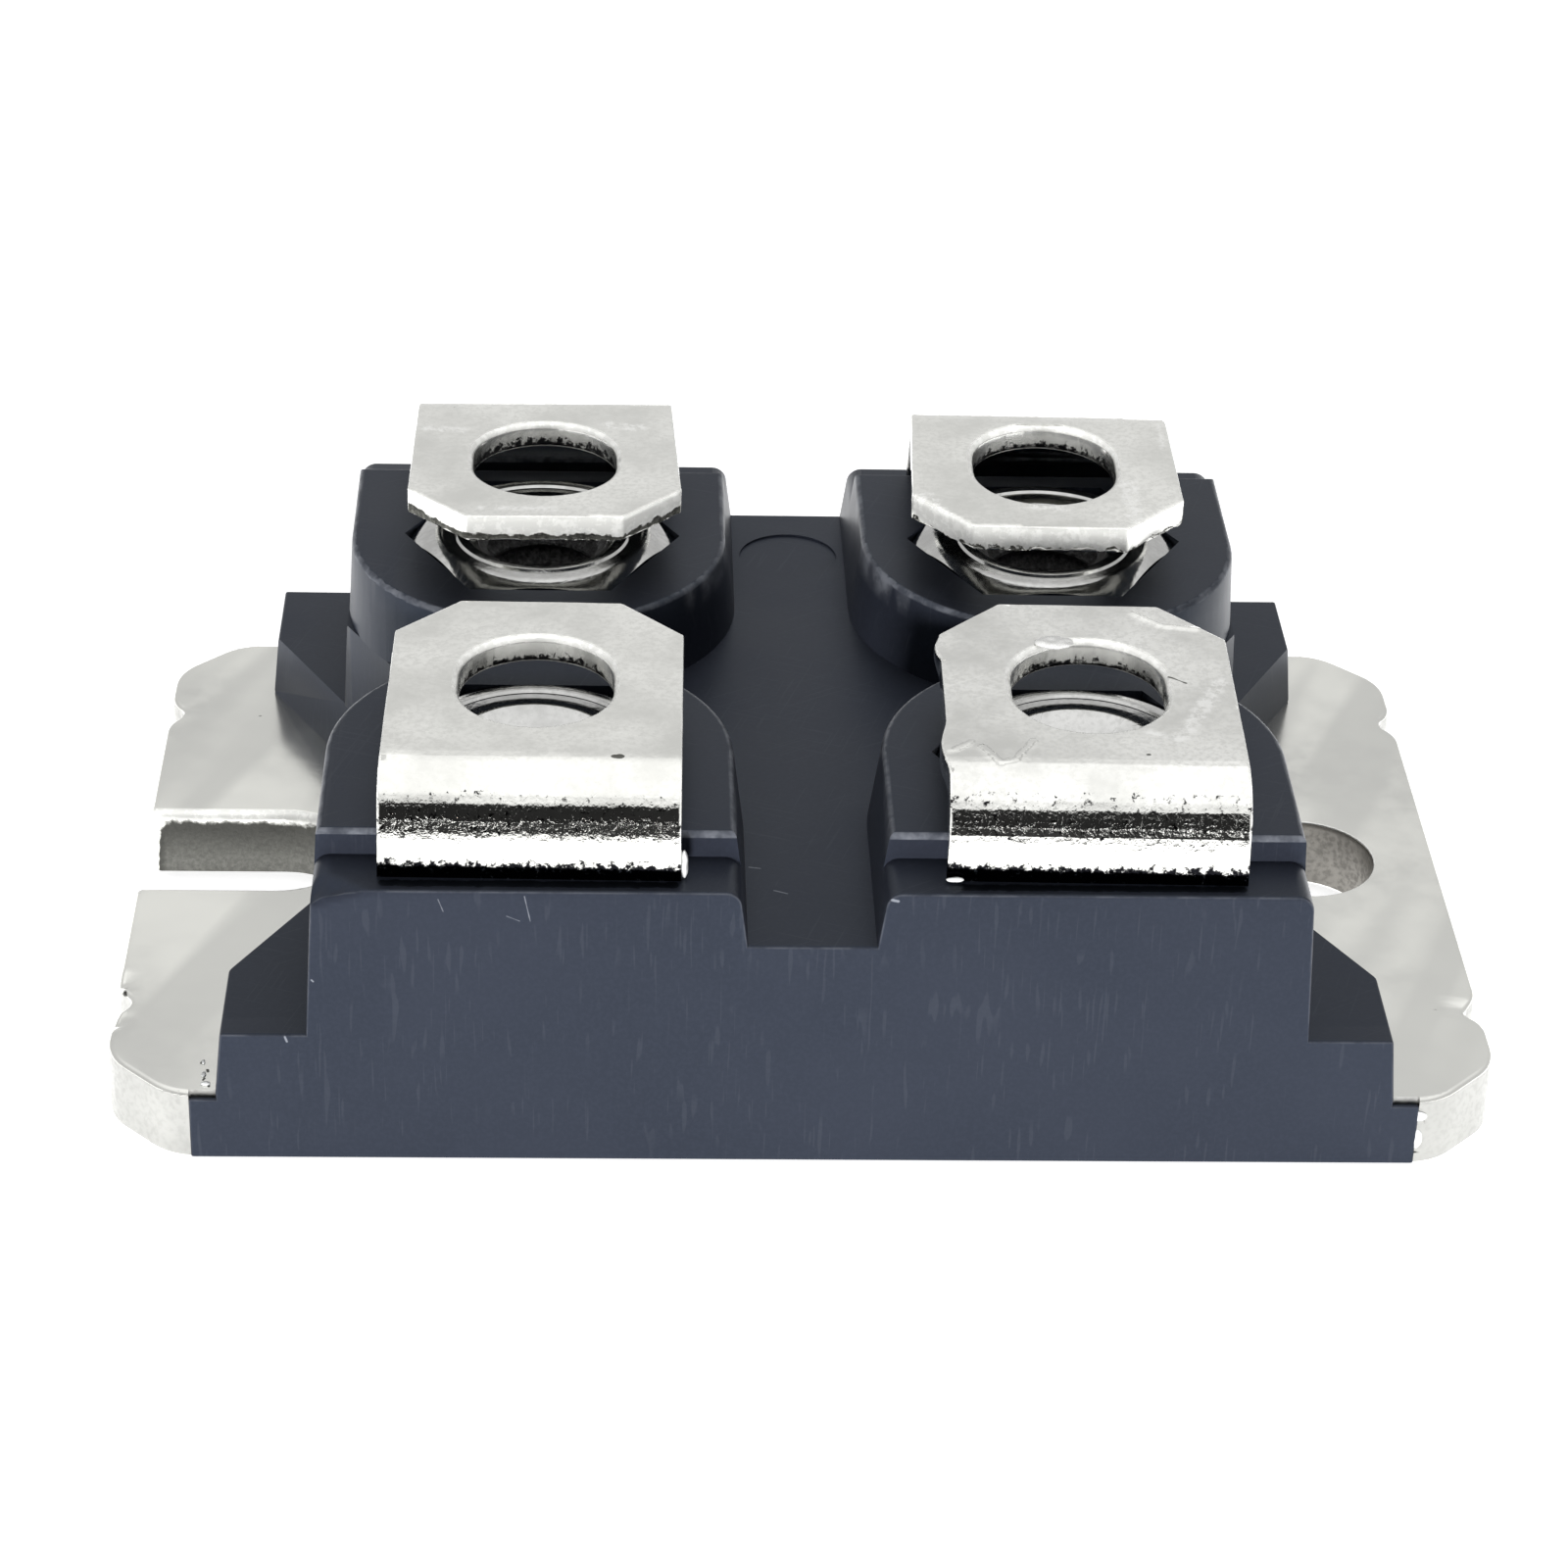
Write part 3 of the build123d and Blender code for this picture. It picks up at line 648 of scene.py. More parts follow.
    def painted_shade_of(self, build: Surface) -> bpy.types.NodeSocket:
        """Return the mask of painted shade and the painted dark reflection band, with flecks along its
        border.
        """
        flecks = build.times(build.minus(build.noise(5.0, 4.0, 0.7), 0.5), self.fleck_spread)
        return build.ramp(build.plus(build.mark(Mark.PAINTED_SHADE), flecks), 0.48, 0.6)

    def dress(self, build: Surface) -> None:
        """Give the surface clouds, peel, stains, scratches, the torn finish of cut faces, painted
        reflection bands, painted ridge shadows and painted shade.
        """
        peel = build.effect(SharedEffects.GRAIN, "Height", Scale=self.peel_scale, Coarse=0.8)
        fine = build.effect(SharedEffects.GRAIN, "Mask", Scale=6.0, Coarse=0.2)
        hairs = build.effect(SharedEffects.SCRATCHES, "Mask", Length=5.0, Amount=self.hairs)
        ridges = build.lines(self.ridges, 0.1)
        marks = self.marks_of(build, ridges)
        torn, crumb, torn_tone = self.tears_of(build)
        edge = build.mark(Mark.EDGE)
        worn = build.ramp(build.noise(3.5, 4.0, 0.7), 0.38, 0.6)
        scuffs = build.times(build.lines(self.scuffs, 0.25), worn)

        tone = self.colour_of(build, fine)
        tone = build.mix(build.times(scuffs, self.scuff_share), tone, self.scuffed)
        tone = build.mix(edge, tone, build.mix(build.larger(worn, 0.5), self.shade, self.bright))
        tone = build.mix(marks, tone, self.torn)
        tone = build.mix(torn, tone, torn_tone)
        # Painted shade and the painted dark reflection band go over the colour here
        build.look("Base Color", build.mix(self.painted_shade_of(build), tone, self.painted_shade))

        rough = build.ramp(fine, 0.0, 1.0, self.roughness, self.roughness * self.grit)
        rough = build.plus(rough, build.times(edge, self.burnish))
        rough = build.plus(rough, build.times(torn, self.torn_grit))
        build.look("Roughness", build.plus(rough, build.times(hairs, self.hair_grit)))
        rubbed = build.times(edge, build.minus(1.0, torn))
        build.look("Metallic", build.ramp(rubbed, 0.0, 1.0, self.metallic, self.worn_metal))

        dimples = build.times(build.noise(5.0, 3.0, 0.6), build.mark(Mark.BEND))
        height = build.plus(build.times(peel, self.peel_depth), build.times(dimples, self.bend_depth))
        height = build.plus(height, build.times(build.times(crumb, torn), self.tear_depth))
        height = build.minus(height, build.times(build.larger(marks, hairs), self.mark_depth))
        build.relief(build.plus(height, build.times(ridges, self.ridge_relief)), 1.0)


@dataclass(frozen=True)
class ClearGel(Finish):
    """Soft clear silicone with a faint haze."""

    def dress(self, build: Surface) -> None:
        """Give the surface the haze, a wavy skin and its clearness."""
        super().dress(build)
        build.look("Transmission Weight", 0.85)
        build.look("IOR", 1.41)


# Mesh building


def millimetres(*values: float) -> Vector:
    """Return a point or size in metres from millimetres."""
    return Vector(values) * MM


def merged_copy(node: str) -> BMesh:
    """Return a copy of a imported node's mesh, merged, with its flat faces joined.

    Args:
        node: The node's name.

    Returns:
        The mesh, ready to be worked on.
    """
    mesh = empty_mesh()
    mesh.from_mesh(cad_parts[node].data)
    bmesh.ops.remove_doubles(mesh, verts=mesh.verts, dist=MERGE * MM)
    bmesh.ops.dissolve_limit(mesh, angle_limit=math.radians(0.4), verts=mesh.verts, edges=mesh.edges)
    return mesh


def empty_mesh() -> BMesh:
    """Return an empty mesh with the finishes' attributes."""
    mesh = bmesh.new()
    for mark in Mark:
        mesh.verts.layers.float.new(mark.value)
    return mesh


def sharp_edges(mesh: BMesh, angle: float, wanted: Callable[[Vector], bool]) -> list[bmesh.types.BMEdge]:
    """Return the convex edges over an angle whose middle is wanted.

    Args:
        mesh: The mesh to search.
        angle: The least angle between the edge's faces, in degrees.
        wanted: Says of a middle point, in millimetres, whether its edge counts.

    Returns:
        The edges found.
    """
    found = []
    for edge in mesh.edges:
        if len(edge.link_faces) != 2 or edge.calc_face_angle(0.0) < math.radians(angle):
            continue
        middle = (edge.verts[0].co + edge.verts[1].co) / 2
        if edge.is_convex and wanted(middle / MM):
            found.append(edge)
    return found


def round_edges(mesh: BMesh, edges: list, width: float, segments: int = 2, worn: float = 1.0) -> None:
    """Round edges, and mark the new faces' vertices with the edge mark: rubbing and a painted highlight on
    the housing, burnish on metal.

    Args:
        mesh: The mesh.
        edges: The edges to round.
        width: The width taken from each side, in millimetres.
        segments: The number of faces across.
        worn: How worn the rounded edges are, from 0 to 1.
    """
    result = bmesh.ops.bevel(
        mesh,
        geom=edges,
        offset=width * MM,
        offset_type="OFFSET",
        segments=segments,
        profile=0.5,
        affect="EDGES",
        clamp_overlap=False,
        material=-1,
    )
    layer = mesh.verts.layers.float[Mark.EDGE.value]
    rounded = set(result["faces"])
    for vertex in {vertex for face in rounded for vertex in face.verts}:
        if all(face in rounded for face in vertex.link_faces):
            vertex[layer] = worn


def slice_mesh(
    mesh: BMesh, axis: int, places: Iterable[float], within: Callable[[Vector], bool] | None = None
) -> None:
    """Cut a mesh along planes across one axis, and keep both sides.

    Args:
        mesh: The mesh.
        axis: 0, 1 or 2 for X, Y or Z.
        places: Where the planes stand, in millimetres.
        within: Says of a face's middle, in millimetres, whether it is cut.
    """
    normal = Vector((0.0, 0.0, 0.0))
    normal[axis] = 1.0
    for place in places:
        geom = mesh.verts[:] + mesh.edges[:] + mesh.faces[:]
        if within:
            faces = [face for face in mesh.faces if within(face.calc_center_median() / MM)]
            edges = {edge for face in faces for edge in face.edges}
            verts = {vertex for face in faces for vertex in face.verts}
            geom = list(verts) + list(edges) + faces
        point = normal * place * MM
        bmesh.ops.bisect_plane(mesh, geom=geom, dist=MERGE * MM, plane_co=point, plane_no=normal)


def steps(start: float, end: float, step: float) -> list[float]:
    """Return evenly spaced places from start to end, both left out."""
    count = max(1, round((end - start) / step))
    return [start + (end - start) * index / count for index in range(1, count)]


def paint(mesh: BMesh, mark: Mark, value: Callable[[Vector, Vector], float]) -> None:
    """Write an attribute at every vertex.

    Args:
        mesh: The mesh.
        mark: The attribute.
        value: Gives the value from a place in millimetres and the surface normal.
    """
    mesh.normal_update()
    layer = mesh.verts.layers.float[mark.value]
    for vertex in mesh.verts:
        vertex[layer] = max(vertex[layer], value(vertex.co / MM, vertex.normal))


def move(mesh: BMesh, shift: Callable[[Vector, Vector], Vector]) -> None:
    """Move every vertex by a function of its place.

    Args:
        mesh: The mesh.
        shift: Gives the move from a place and the surface normal, all in millimetres.
    """
    mesh.normal_update()
    moves = [(vertex, shift(vertex.co / MM, vertex.normal) * MM) for vertex in mesh.verts]
    for vertex, offset in moves:
        vertex.co += offset


def bump_at(place: Vector, centre: Place, radius: float) -> float:
    """Return 1 at a centre, falling smoothly to 0 at a radius."""
    away = (place - Vector(centre)).length / radius
    return 0.0 if away >= 1.0 else (1.0 - away * away) ** 2


def ridge_at(place: Vector, stroke: Stroke, width: float) -> float:
    """Return 1 on a stroke's line, falling smoothly to 0 at a width.

    Args:
        place: The place to look at, in millimetres.
        stroke: The stroke that the ridge follows.
        width: The ridge's half width in millimetres.

    Returns:
        The share of the ridge's full height.
    """
    start = Vector(stroke.start)
    along = Vector(stroke.end) - start
    share = min(1.0, max(0.0, (place - start).dot(along) / along.length_squared))
    return bump_at(place, tuple(start + along * share), width)


def rough_noise(place: Vector, scale: float, seed: float) -> float:
    """Return smooth noise from -1 to 1, with scale cells to a millimetre."""
    return noise.noise(place * scale + Vector((seed, seed * 0.7, seed * 1.3)))


def show(
    mesh: BMesh, name: str, finish: Finish, replaces: str = "", sharp: float = 32.0
) -> bpy.types.Object:
    """Turn a mesh into a finished piece of the module.

    Args:
        mesh: The mesh, which is freed.
        name: The piece's name.
        finish: Its finish.
        replaces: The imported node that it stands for.
        sharp: The angle over which an edge stays sharp, in degrees.

    Returns:
        The new object.
    """
    for face in mesh.faces:
        face.smooth = True
    for edge in mesh.edges:
        edge.smooth = len(edge.link_faces) == 2 and edge.calc_face_angle(0.0) < math.radians(sharp)
    data = bpy.data.meshes.new(name)
    mesh.to_mesh(data)
    mesh.free()
    piece = bpy.data.objects.new(name, data)
    bpy.context.scene.collection.objects.link(piece)
    data.materials.append(finish.material())
    weighted = piece.modifiers.new("even_normals", "WEIGHTED_NORMAL")
    weighted.keep_sharp = True
    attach(piece, BODY)
    if replaces:
        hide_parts(replaces)
    LOG.info("%s: %d faces", name, len(data.polygons))
    return piece


# The module's own finishes

HOUSING_STROKES = (
    Stroke((-9.87, -FACE_Y, 8.25), (-9.74, -FACE_Y, 7.88), 0.02),
    Stroke((-7.61, -FACE_Y, 8.36), (-7.46, -FACE_Y, 7.6), 0.025),
    Stroke((-8.08, -FACE_Y, 7.75), (-7.74, -FACE_Y, 7.6), 0.02),
    Stroke((-13.4, -FACE_Y, 6.5), (-13.36, -FACE_Y, 6.4), 0.05),
    Stroke((-14.0, -FACE_Y, 3.9), (-13.95, -FACE_Y, 3.75), 0.04),
    Stroke((-13.87, -FACE_Y, 4.47), (-13.83, -FACE_Y, 4.4), 0.035),
    Stroke((-13.24, -FACE_Y, 5.71), (-13.2, -FACE_Y, 5.66), 0.035),
    Stroke((1.7, -FACE_Y, 8.42), (2.2, -FACE_Y, 8.3), 0.05),
    Stroke((-1.6, -8.6, VALLEY_FLOOR), (-1.3, -8.66, VALLEY_FLOOR), 0.04),
    Stroke((-0.95, -9.8, VALLEY_FLOOR), (-0.6, -9.95, VALLEY_FLOOR), 0.04),
    Stroke((1.55, -11.3, 7.6), (1.62, -12.2, 7.9), 0.09),
    Stroke((1.62, -11.9, 8.2), (1.6, -12.55, 8.5), 0.09),
)
# Painted shadows on the ledge along the front strips' feet
HOUSING_PAINTED_SHADOWS = (
    Stroke((-11.3, -12.25, LEDGE_TOP), (-3.7, -12.25, LEDGE_TOP), 0.17),
    Stroke((3.7, -12.25, LEDGE_TOP), (11.3, -12.25, LEDGE_TOP), 0.17),
)
MOULDING = MouldedPlastic(
    "moulded_plastic",
    Slot.MOULDING,
    (0.0172, 0.0195, 0.0275),
    0.4,
    strokes=HOUSING_STROKES,
    painted_shadows=HOUSING_PAINTED_SHADOWS,
)
STRIP_STROKES = (
    Stroke((9.81, -5.88, 11.4), (10.26, -6.25, 11.4), 0.05),
    Stroke((-5.26, -10.49, 11.4), (-5.12, -10.49, 11.4), 0.12),
    Stroke((8.83, -10.08, 11.35), (8.87, -10.08, 11.35), 0.07),
)
GATE_RIDGES = (
    Stroke((3.75, -9.9, 11.35), (4.2, -9.5, 11.36), 0.14),
    Stroke((4.47, -9.75, 11.35), (4.9, -10.55, 11.33), 0.16),
    Stroke((4.9, -10.55, 11.33), (5.3, -10.4, 11.335), 0.16),
    Stroke((5.3, -10.4, 11.335), (5.85, -9.4, 11.36), 0.14),
    Stroke((9.2, -2.3, 11.455), (9.9, -3.0, 11.447), 0.1),
    Stroke((9.9, -3.0, 11.447), (10.9, -3.2, 11.444), 0.1),
)
GATE_SCUFFS = (
    Stroke((9.8, -9.2, 11.36), (10.5, -7.8, 11.385), 0.35),
    Stroke((10.5, -7.8, 11.385), (11.2, -6.2, 11.405), 0.35),
    Stroke((9.0, -8.9, 11.365), (9.4, -9.1, 11.36), 0.25),
)
MAIN_EMITTER_SCUFFS = (
    Stroke((-11.0, 8.4, 11.765), (-9.9, 8.3, 11.767), 0.3),
    Stroke((-5.6, 8.75, 11.76), (-4.6, 8.6, 11.76), 0.35),
    Stroke((-10.6, 2.6, 11.865), (-9.4, 2.1, 11.874), 0.35),
    Stroke((-9.2, 3.0, 11.86), (-7.1, 2.95, 11.86), 0.25),
)
COLLECTOR_SCUFFS = (
    Stroke((3.7, 4.2, 11.742), (4.4, 2.6, 11.702), 0.45),
    Stroke((9.8, 5.2, 11.767), (9.75, 3.0, 11.711), 0.35),
    Stroke((6.9, 3.7, 11.729), (7.8, 3.6, 11.726), 0.3),
    Stroke((11.05, 9.0, 11.864), (11.05, 7.5, 11.826), 0.2),
)
STRIP_PLATING = PlatedMetal(
    "strip_plating",
    Slot.PLATED_COPPER,
    (0.83, 0.83, 0.795),
    0.05,
    1.0,
    shade=(0.64, 0.64, 0.61),
    bend_depth=0.02,
    strokes=STRIP_STROKES,
)
GATE_PLATING = replace(
    STRIP_PLATING,
    name="gate_strip_plating",
    colour=(0.83, 0.83, 0.80),
    shade=(0.60, 0.60, 0.575),
    ridges=GATE_RIDGES,
    scuffs=GATE_SCUFFS,
)
MAIN_EMITTER_PLATING = replace(STRIP_PLATING, name="main_emitter_strip_plating", scuffs=MAIN_EMITTER_SCUFFS)
COLLECTOR_PLATING = replace(
    STRIP_PLATING,
    name="collector_strip_plating",
    tear_level=0.92,
    tear_spread=0.9,
    scuffs=COLLECTOR_SCUFFS,
)
BASE_STROKES = (
    Stroke((-16.12, -12.3, 2.05), (-16.16, -12.2, 2.05), 0.05),
    Stroke((-16.3, -12.0, 2.05), (-16.26, -11.9, 2.05), 0.04),
    Stroke((-16.2, -11.6, 2.05), (-16.22, -11.5, 2.05), 0.05),
    Stroke((-16.42, -11.2, 2.05), (-16.4, -11.1, 2.05), 0.04),
    Stroke((-16.9, -12.5, 2.05), (-17.2, -12.42, 2.05), 0.04),
    Stroke((16.42, -12.6, 1.75), (16.8, -12.6, 1.6), 0.05),
    Stroke((16.8, -12.6, 1.5), (17.0, -12.6, 0.8), 0.05),
    Stroke((16.55, -12.6, 1.1), (16.6, -12.6, 0.9), 0.05),
    Stroke((16.45, -12.6, 0.35), (16.8, -12.6, 0.3), 0.05),
    # These four strokes darken nicks in the notches: painted shade in the dents
    Stroke((-18.9, -9.06, 2.02), (-18.85, -8.9, 2.02), 0.1),
    Stroke((-18.88, -7.87, 2.02), (-18.9, -7.7, 2.02), 0.14),
    Stroke((-18.92, -7.17, 2.02), (-18.9, -7.1, 2.02), 0.06),
    Stroke((17.75, -8.12, 2.02), (17.8, -8.12, 2.02), 0.05),
)
BASE_PLATING = PlatedMetal(
    "base_plating",
    Slot.PLATED_COPPER,
    (0.79, 0.79, 0.745),
    0.2,
    1.0,
    shade=(0.57, 0.57, 0.545),
    cloud_scale=0.13,
    peel_scale=1.0,
    peel_depth=0.004,
    grit=1.05,
    mottle=0.0,
    hairs=0.05,
    # Painted reflection bands across the plate
    reflection_bands=0.75,
    tear_level=0.17,
    tear_spread=0.22,
    tear_depth=0.012,
    crumbling=0.5,
    torn=(0.062, 0.062, 0.057),
    strokes=BASE_STROKES,
)
# A darker copy of the base plating for the outer sides: painted shade
SHADED_SIDE_PLATING = replace(
    BASE_PLATING,
    name="base_side_plating_shaded",
    colour=(0.47, 0.47, 0.45),
    roughness=0.35,
    shade=(0.39, 0.39, 0.375),
    cloud_scale=0.5,
    peel_scale=2.0,
    mottle=0.2,
    grit=1.4,
)
# A dark copy of the plating for the round hole's wall: painted shade inside the hole
SHADED_BORE_WALL = PlatedMetal(
    "shaded_bore_wall",
    Slot.PLATED_COPPER,
    (0.24, 0.23, 0.21),
    0.4,
    1.0,
    shade=(0.17, 0.163, 0.15),
    cloud_scale=0.5,
    hairs=0.0,
)
# The nuts' torn colour only darkens the rear nuts' bores, as painted shade
NUT_PLATING = PlatedMetal(
    "nut_plating",
    Slot.PLATED_NUT,
    (0.52, 0.52, 0.51),
    0.12,
    1.0,
    shade=(0.40, 0.40, 0.39),
    torn=(0.05, 0.05, 0.05),
    cloud_scale=0.8,
    peel_scale=5.0,
    tear_level=0.5,
    tear_spread=0.2,
)
BURR = Finish("bright_burr", Slot.PLATED_COPPER, (0.9, 0.9, 0.88), 0.3, 0.4)
FLASH = Finish("pale_flash", Slot.MOULDING, (0.62, 0.63, 0.63), 0.35)
BARE_COPPER = Finish("bare_copper", Slot.BARE_COPPER, (0.72, 0.36, 0.22), 0.3, 1.0)
SOLDER = Finish("tin_solder", Slot.SOLDER, (0.55, 0.56, 0.58), 0.4, 1.0)
CERAMIC = Finish("nitride_ceramic", Slot.CERAMIC, (0.72, 0.71, 0.65), 0.6)
SILICON = Finish("silicon_chip", Slot.SILICON, (0.22, 0.23, 0.27), 0.25, 0.6)
WIRE = Finish("aluminium_wire", Slot.WIRE, (0.80, 0.80, 0.81), 0.25, 1.0)
ADHESIVE = Finish("cured_adhesive", Slot.ADHESIVE, (0.62, 0.62, 0.58), 0.55)
GEL = ClearGel("silicone_gel", Slot.GEL, (0.85, 0.87, 0.88), 0.12)


# Pieces


@dataclass
class Housing:
    """The moulded housing, with rounded edges and its chipped ledge corner."""

    edge: float = 0.07
    # Rounded outer edges carry rubbing and a painted highlight
    edge_wear_and_highlight: float = 0.35
    chip_point: Place = (-11.7, -12.65, 8.5)
    chip_normal: Place = (-0.28, -0.35, 0.89)
    chip_reach: tuple[tuple[float, float], ...] = ((-13.5, -11.2), (-12.7, -11.6), (7.4, 8.6))
    chip_grid: float = 0.16
    chip_roughness: float = 0.06
    foot: float = 0.2
    outer_y: float = 9.0
    body_y: float = 11.6
    cavity_x: float = 11.0
    cavity_top: float = 5.6
    pocket_reach: float = 4.4
    mark_reach: float = 1.8
    strip_half_width: float = 4.3
    strip_y: tuple[float, float] = (10.6, 12.2)

    def outside(self, place: Vector) -> bool:
        """Return whether a place is on an outer edge, away from the towers and the screw reliefs."""
        wide, deep = abs(place.x), abs(place.y)
        if not self.foot < place.z < LEDGE_TOP + 0.02 or deep < self.outer_y:
            return False
        on_floor = abs(place.z - VALLEY_FLOOR) < 0.2
        marked = wide < self.mark_reach and 0.0 < place.y < self.body_y and on_floor
        inner = wide < self.cavity_x and deep < self.body_y and place.z < self.cavity_top
        pocket = math.hypot(wide - PITCH_X / 2, deep - PITCH_Y / 2) < self.pocket_reach
        beside = abs(wide - PITCH_X / 2) < self.strip_half_width
        strip = beside and self.strip_y[0] < deep < self.strip_y[1]
        return not marked and not inner and not pocket and not strip

    def rim(self, place: Vector, normal: Vector) -> float:
        """Return how much a place is on a tower's rim, which gets rubbing and a painted highlight line."""
        return 1.0 if TOWER_TOP - 0.17 < place.z < TOWER_TOP - 0.01 and 0.2 < normal.z < 0.97 else 0.0

    def chip(self, place: Vector, normal: Vector) -> Vector:
        """Return the move that breaks off the front left ledge corner."""
        near = place.x < -11.0 and place.y < -11.5 and 7.2 < place.z < 8.6
        if not near:
            return Vector((0.0, 0.0, 0.0))
        face = Vector(self.chip_normal).normalized()
        depth = (place - Vector(self.chip_point)).dot(face)
        depth += self.chip_roughness * rough_noise(place, 2.5, 3.0)
        return face * -max(0.0, depth)

    def build(self) -> None:
        """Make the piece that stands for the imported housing."""
        mesh = merged_copy("housing")
        round_edges(mesh, sharp_edges(mesh, 30.0, self.outside), self.edge, worn=self.edge_wear_and_highlight)
        for axis, (start, end) in enumerate(self.chip_reach):
            slice_mesh(mesh, axis, steps(start, end, self.chip_grid))
        paint(mesh, Mark.EDGE, self.rim)
        move(mesh, self.chip)
        show(mesh, "housing_moulding", MOULDING, "housing")


@dataclass
class BasePlate:
    """The plated base, with its sheared slot and dented notches."""

    mount_x: float = 15.1
    hole_radius: float = 2.1
    edge: float = 0.06
    plate_end: float = 19.05
    dented_from: float = 17.8
    slot_margin: float = 0.35
    slot_end: float = -12.8
    slot_grid: float = 0.2
    notch_grid: float = 0.3
    notch_reach: float = 12.4
    wall_tear: float = 0.07
    dents: tuple[tuple[Place, float, float], ...] = (
        ((-18.95, -9.06, 2.05), 0.5, 0.22),
        ((-18.95, -7.17, 2.05), 0.45, 0.15),
        ((18.7, -8.1, 2.05), 0.5, 0.12),
    )

    def in_slot(self, place: Vector) -> bool:
        """Return whether a place is in the open slot or on its edge."""
        reach = self.hole_radius + self.slot_margin
        if place.x < -self.mount_x:
            return abs(place.y) < reach
        return math.hypot(place.x + self.mount_x, place.y) < reach

    def sheared(self, place: Vector, normal: Vector) -> float:
        """Return how far down a place is on the slot's sheared wall, from 0 to 1."""
        if not self.in_slot(place) or abs(normal.z) > 0.85:
            return 0.0
        down = min(1.0, max(0.0, (PLATE_TOP - place.z) / PLATE_TOP))
        from_end = min(1.0, max(0.0, (place.x + self.plate_end - 0.08) / 0.35))
        return down * from_end

    def finish_of(self, face: bmesh.types.BMFace) -> int:
        """Return a face's place in the list of finishes.

        Args:
            face: A face of the plate.

        Returns:
            0 for the plate's own finish, 1 for the round hole's wall, 2 for the outer sides, both darker
            copies of the plating with painted shade.
        """
        middle = face.calc_center_median() / MM
        if abs(face.normal.z) > 0.3 or self.in_slot(middle):
            return 0
        return 1 if math.hypot(middle.x - self.mount_x, middle.y) < self.hole_radius + 0.06 else 2

    def shape(self, place: Vector, normal: Vector) -> Vector:
        """Return the move that tears the cut walls and dents the notches."""
        shift = Vector((0.0, 0.0, 0.0))
        if self.sheared(place, normal) > 0.2 and 0.1 < place.z:
            shift -= normal * self.wall_tear * (0.5 + 0.5 * rough_noise(place, 3.0, 5.0))
        for centre, radius, depth in self.dents:
            hit = bump_at(place, centre, radius)
            if place.z > 1.0:
                shift.z -= depth * hit
        return shift

    def build(self) -> None:
        """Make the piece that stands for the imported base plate."""
        mesh = merged_copy("base_plate")

        def near_slot(place: Vector) -> bool:
            return abs(place.y) < 3.0 or abs(place.x) > 18.0

        round_edges(mesh, sharp_edges(mesh, 40.0, self.on_hole_rim), self.edge)
        slice_mesh(mesh, 0, (-self.dented_from, self.dented_from))
        slice_mesh(mesh, 2, steps(0.0, PLATE_TOP, self.slot_grid), near_slot)
        slice_mesh(mesh, 0, steps(-self.plate_end, self.slot_end, self.slot_grid), near_slot)
        across = steps(-self.notch_reach, self.notch_reach, self.notch_grid)
        slice_mesh(mesh, 1, across, lambda place: abs(place.x) > self.dented_from)
        paint(mesh, Mark.SHEAR, self.sheared)
        paint(mesh, Mark.EDGE, self.rolled)
        for face in mesh.faces:
            face.material_index = self.finish_of(face)
        move(mesh, self.shape)
        piece = show(mesh, "base_plate_plated", BASE_PLATING, "base_plate")
        piece.data.materials.append(SHADED_BORE_WALL.material())
        piece.data.materials.append(SHADED_SIDE_PLATING.material())

    def on_hole_rim(self, place: Vector) -> bool:
        """Return whether a place is on the round hole's top edge."""
        gap = abs(math.hypot(place.x - self.mount_x, place.y) - self.hole_radius)
        return gap < 0.1 and place.z > PLATE_TOP - 0.1

    def rolled(self, place: Vector, normal: Vector) -> float:
        """Return how much a place is on the slot's burnished rolled edge."""
        return 0.8 if self.in_slot(place) and 0.05 < normal.z < 0.97 and place.z > 1.6 else 0.0


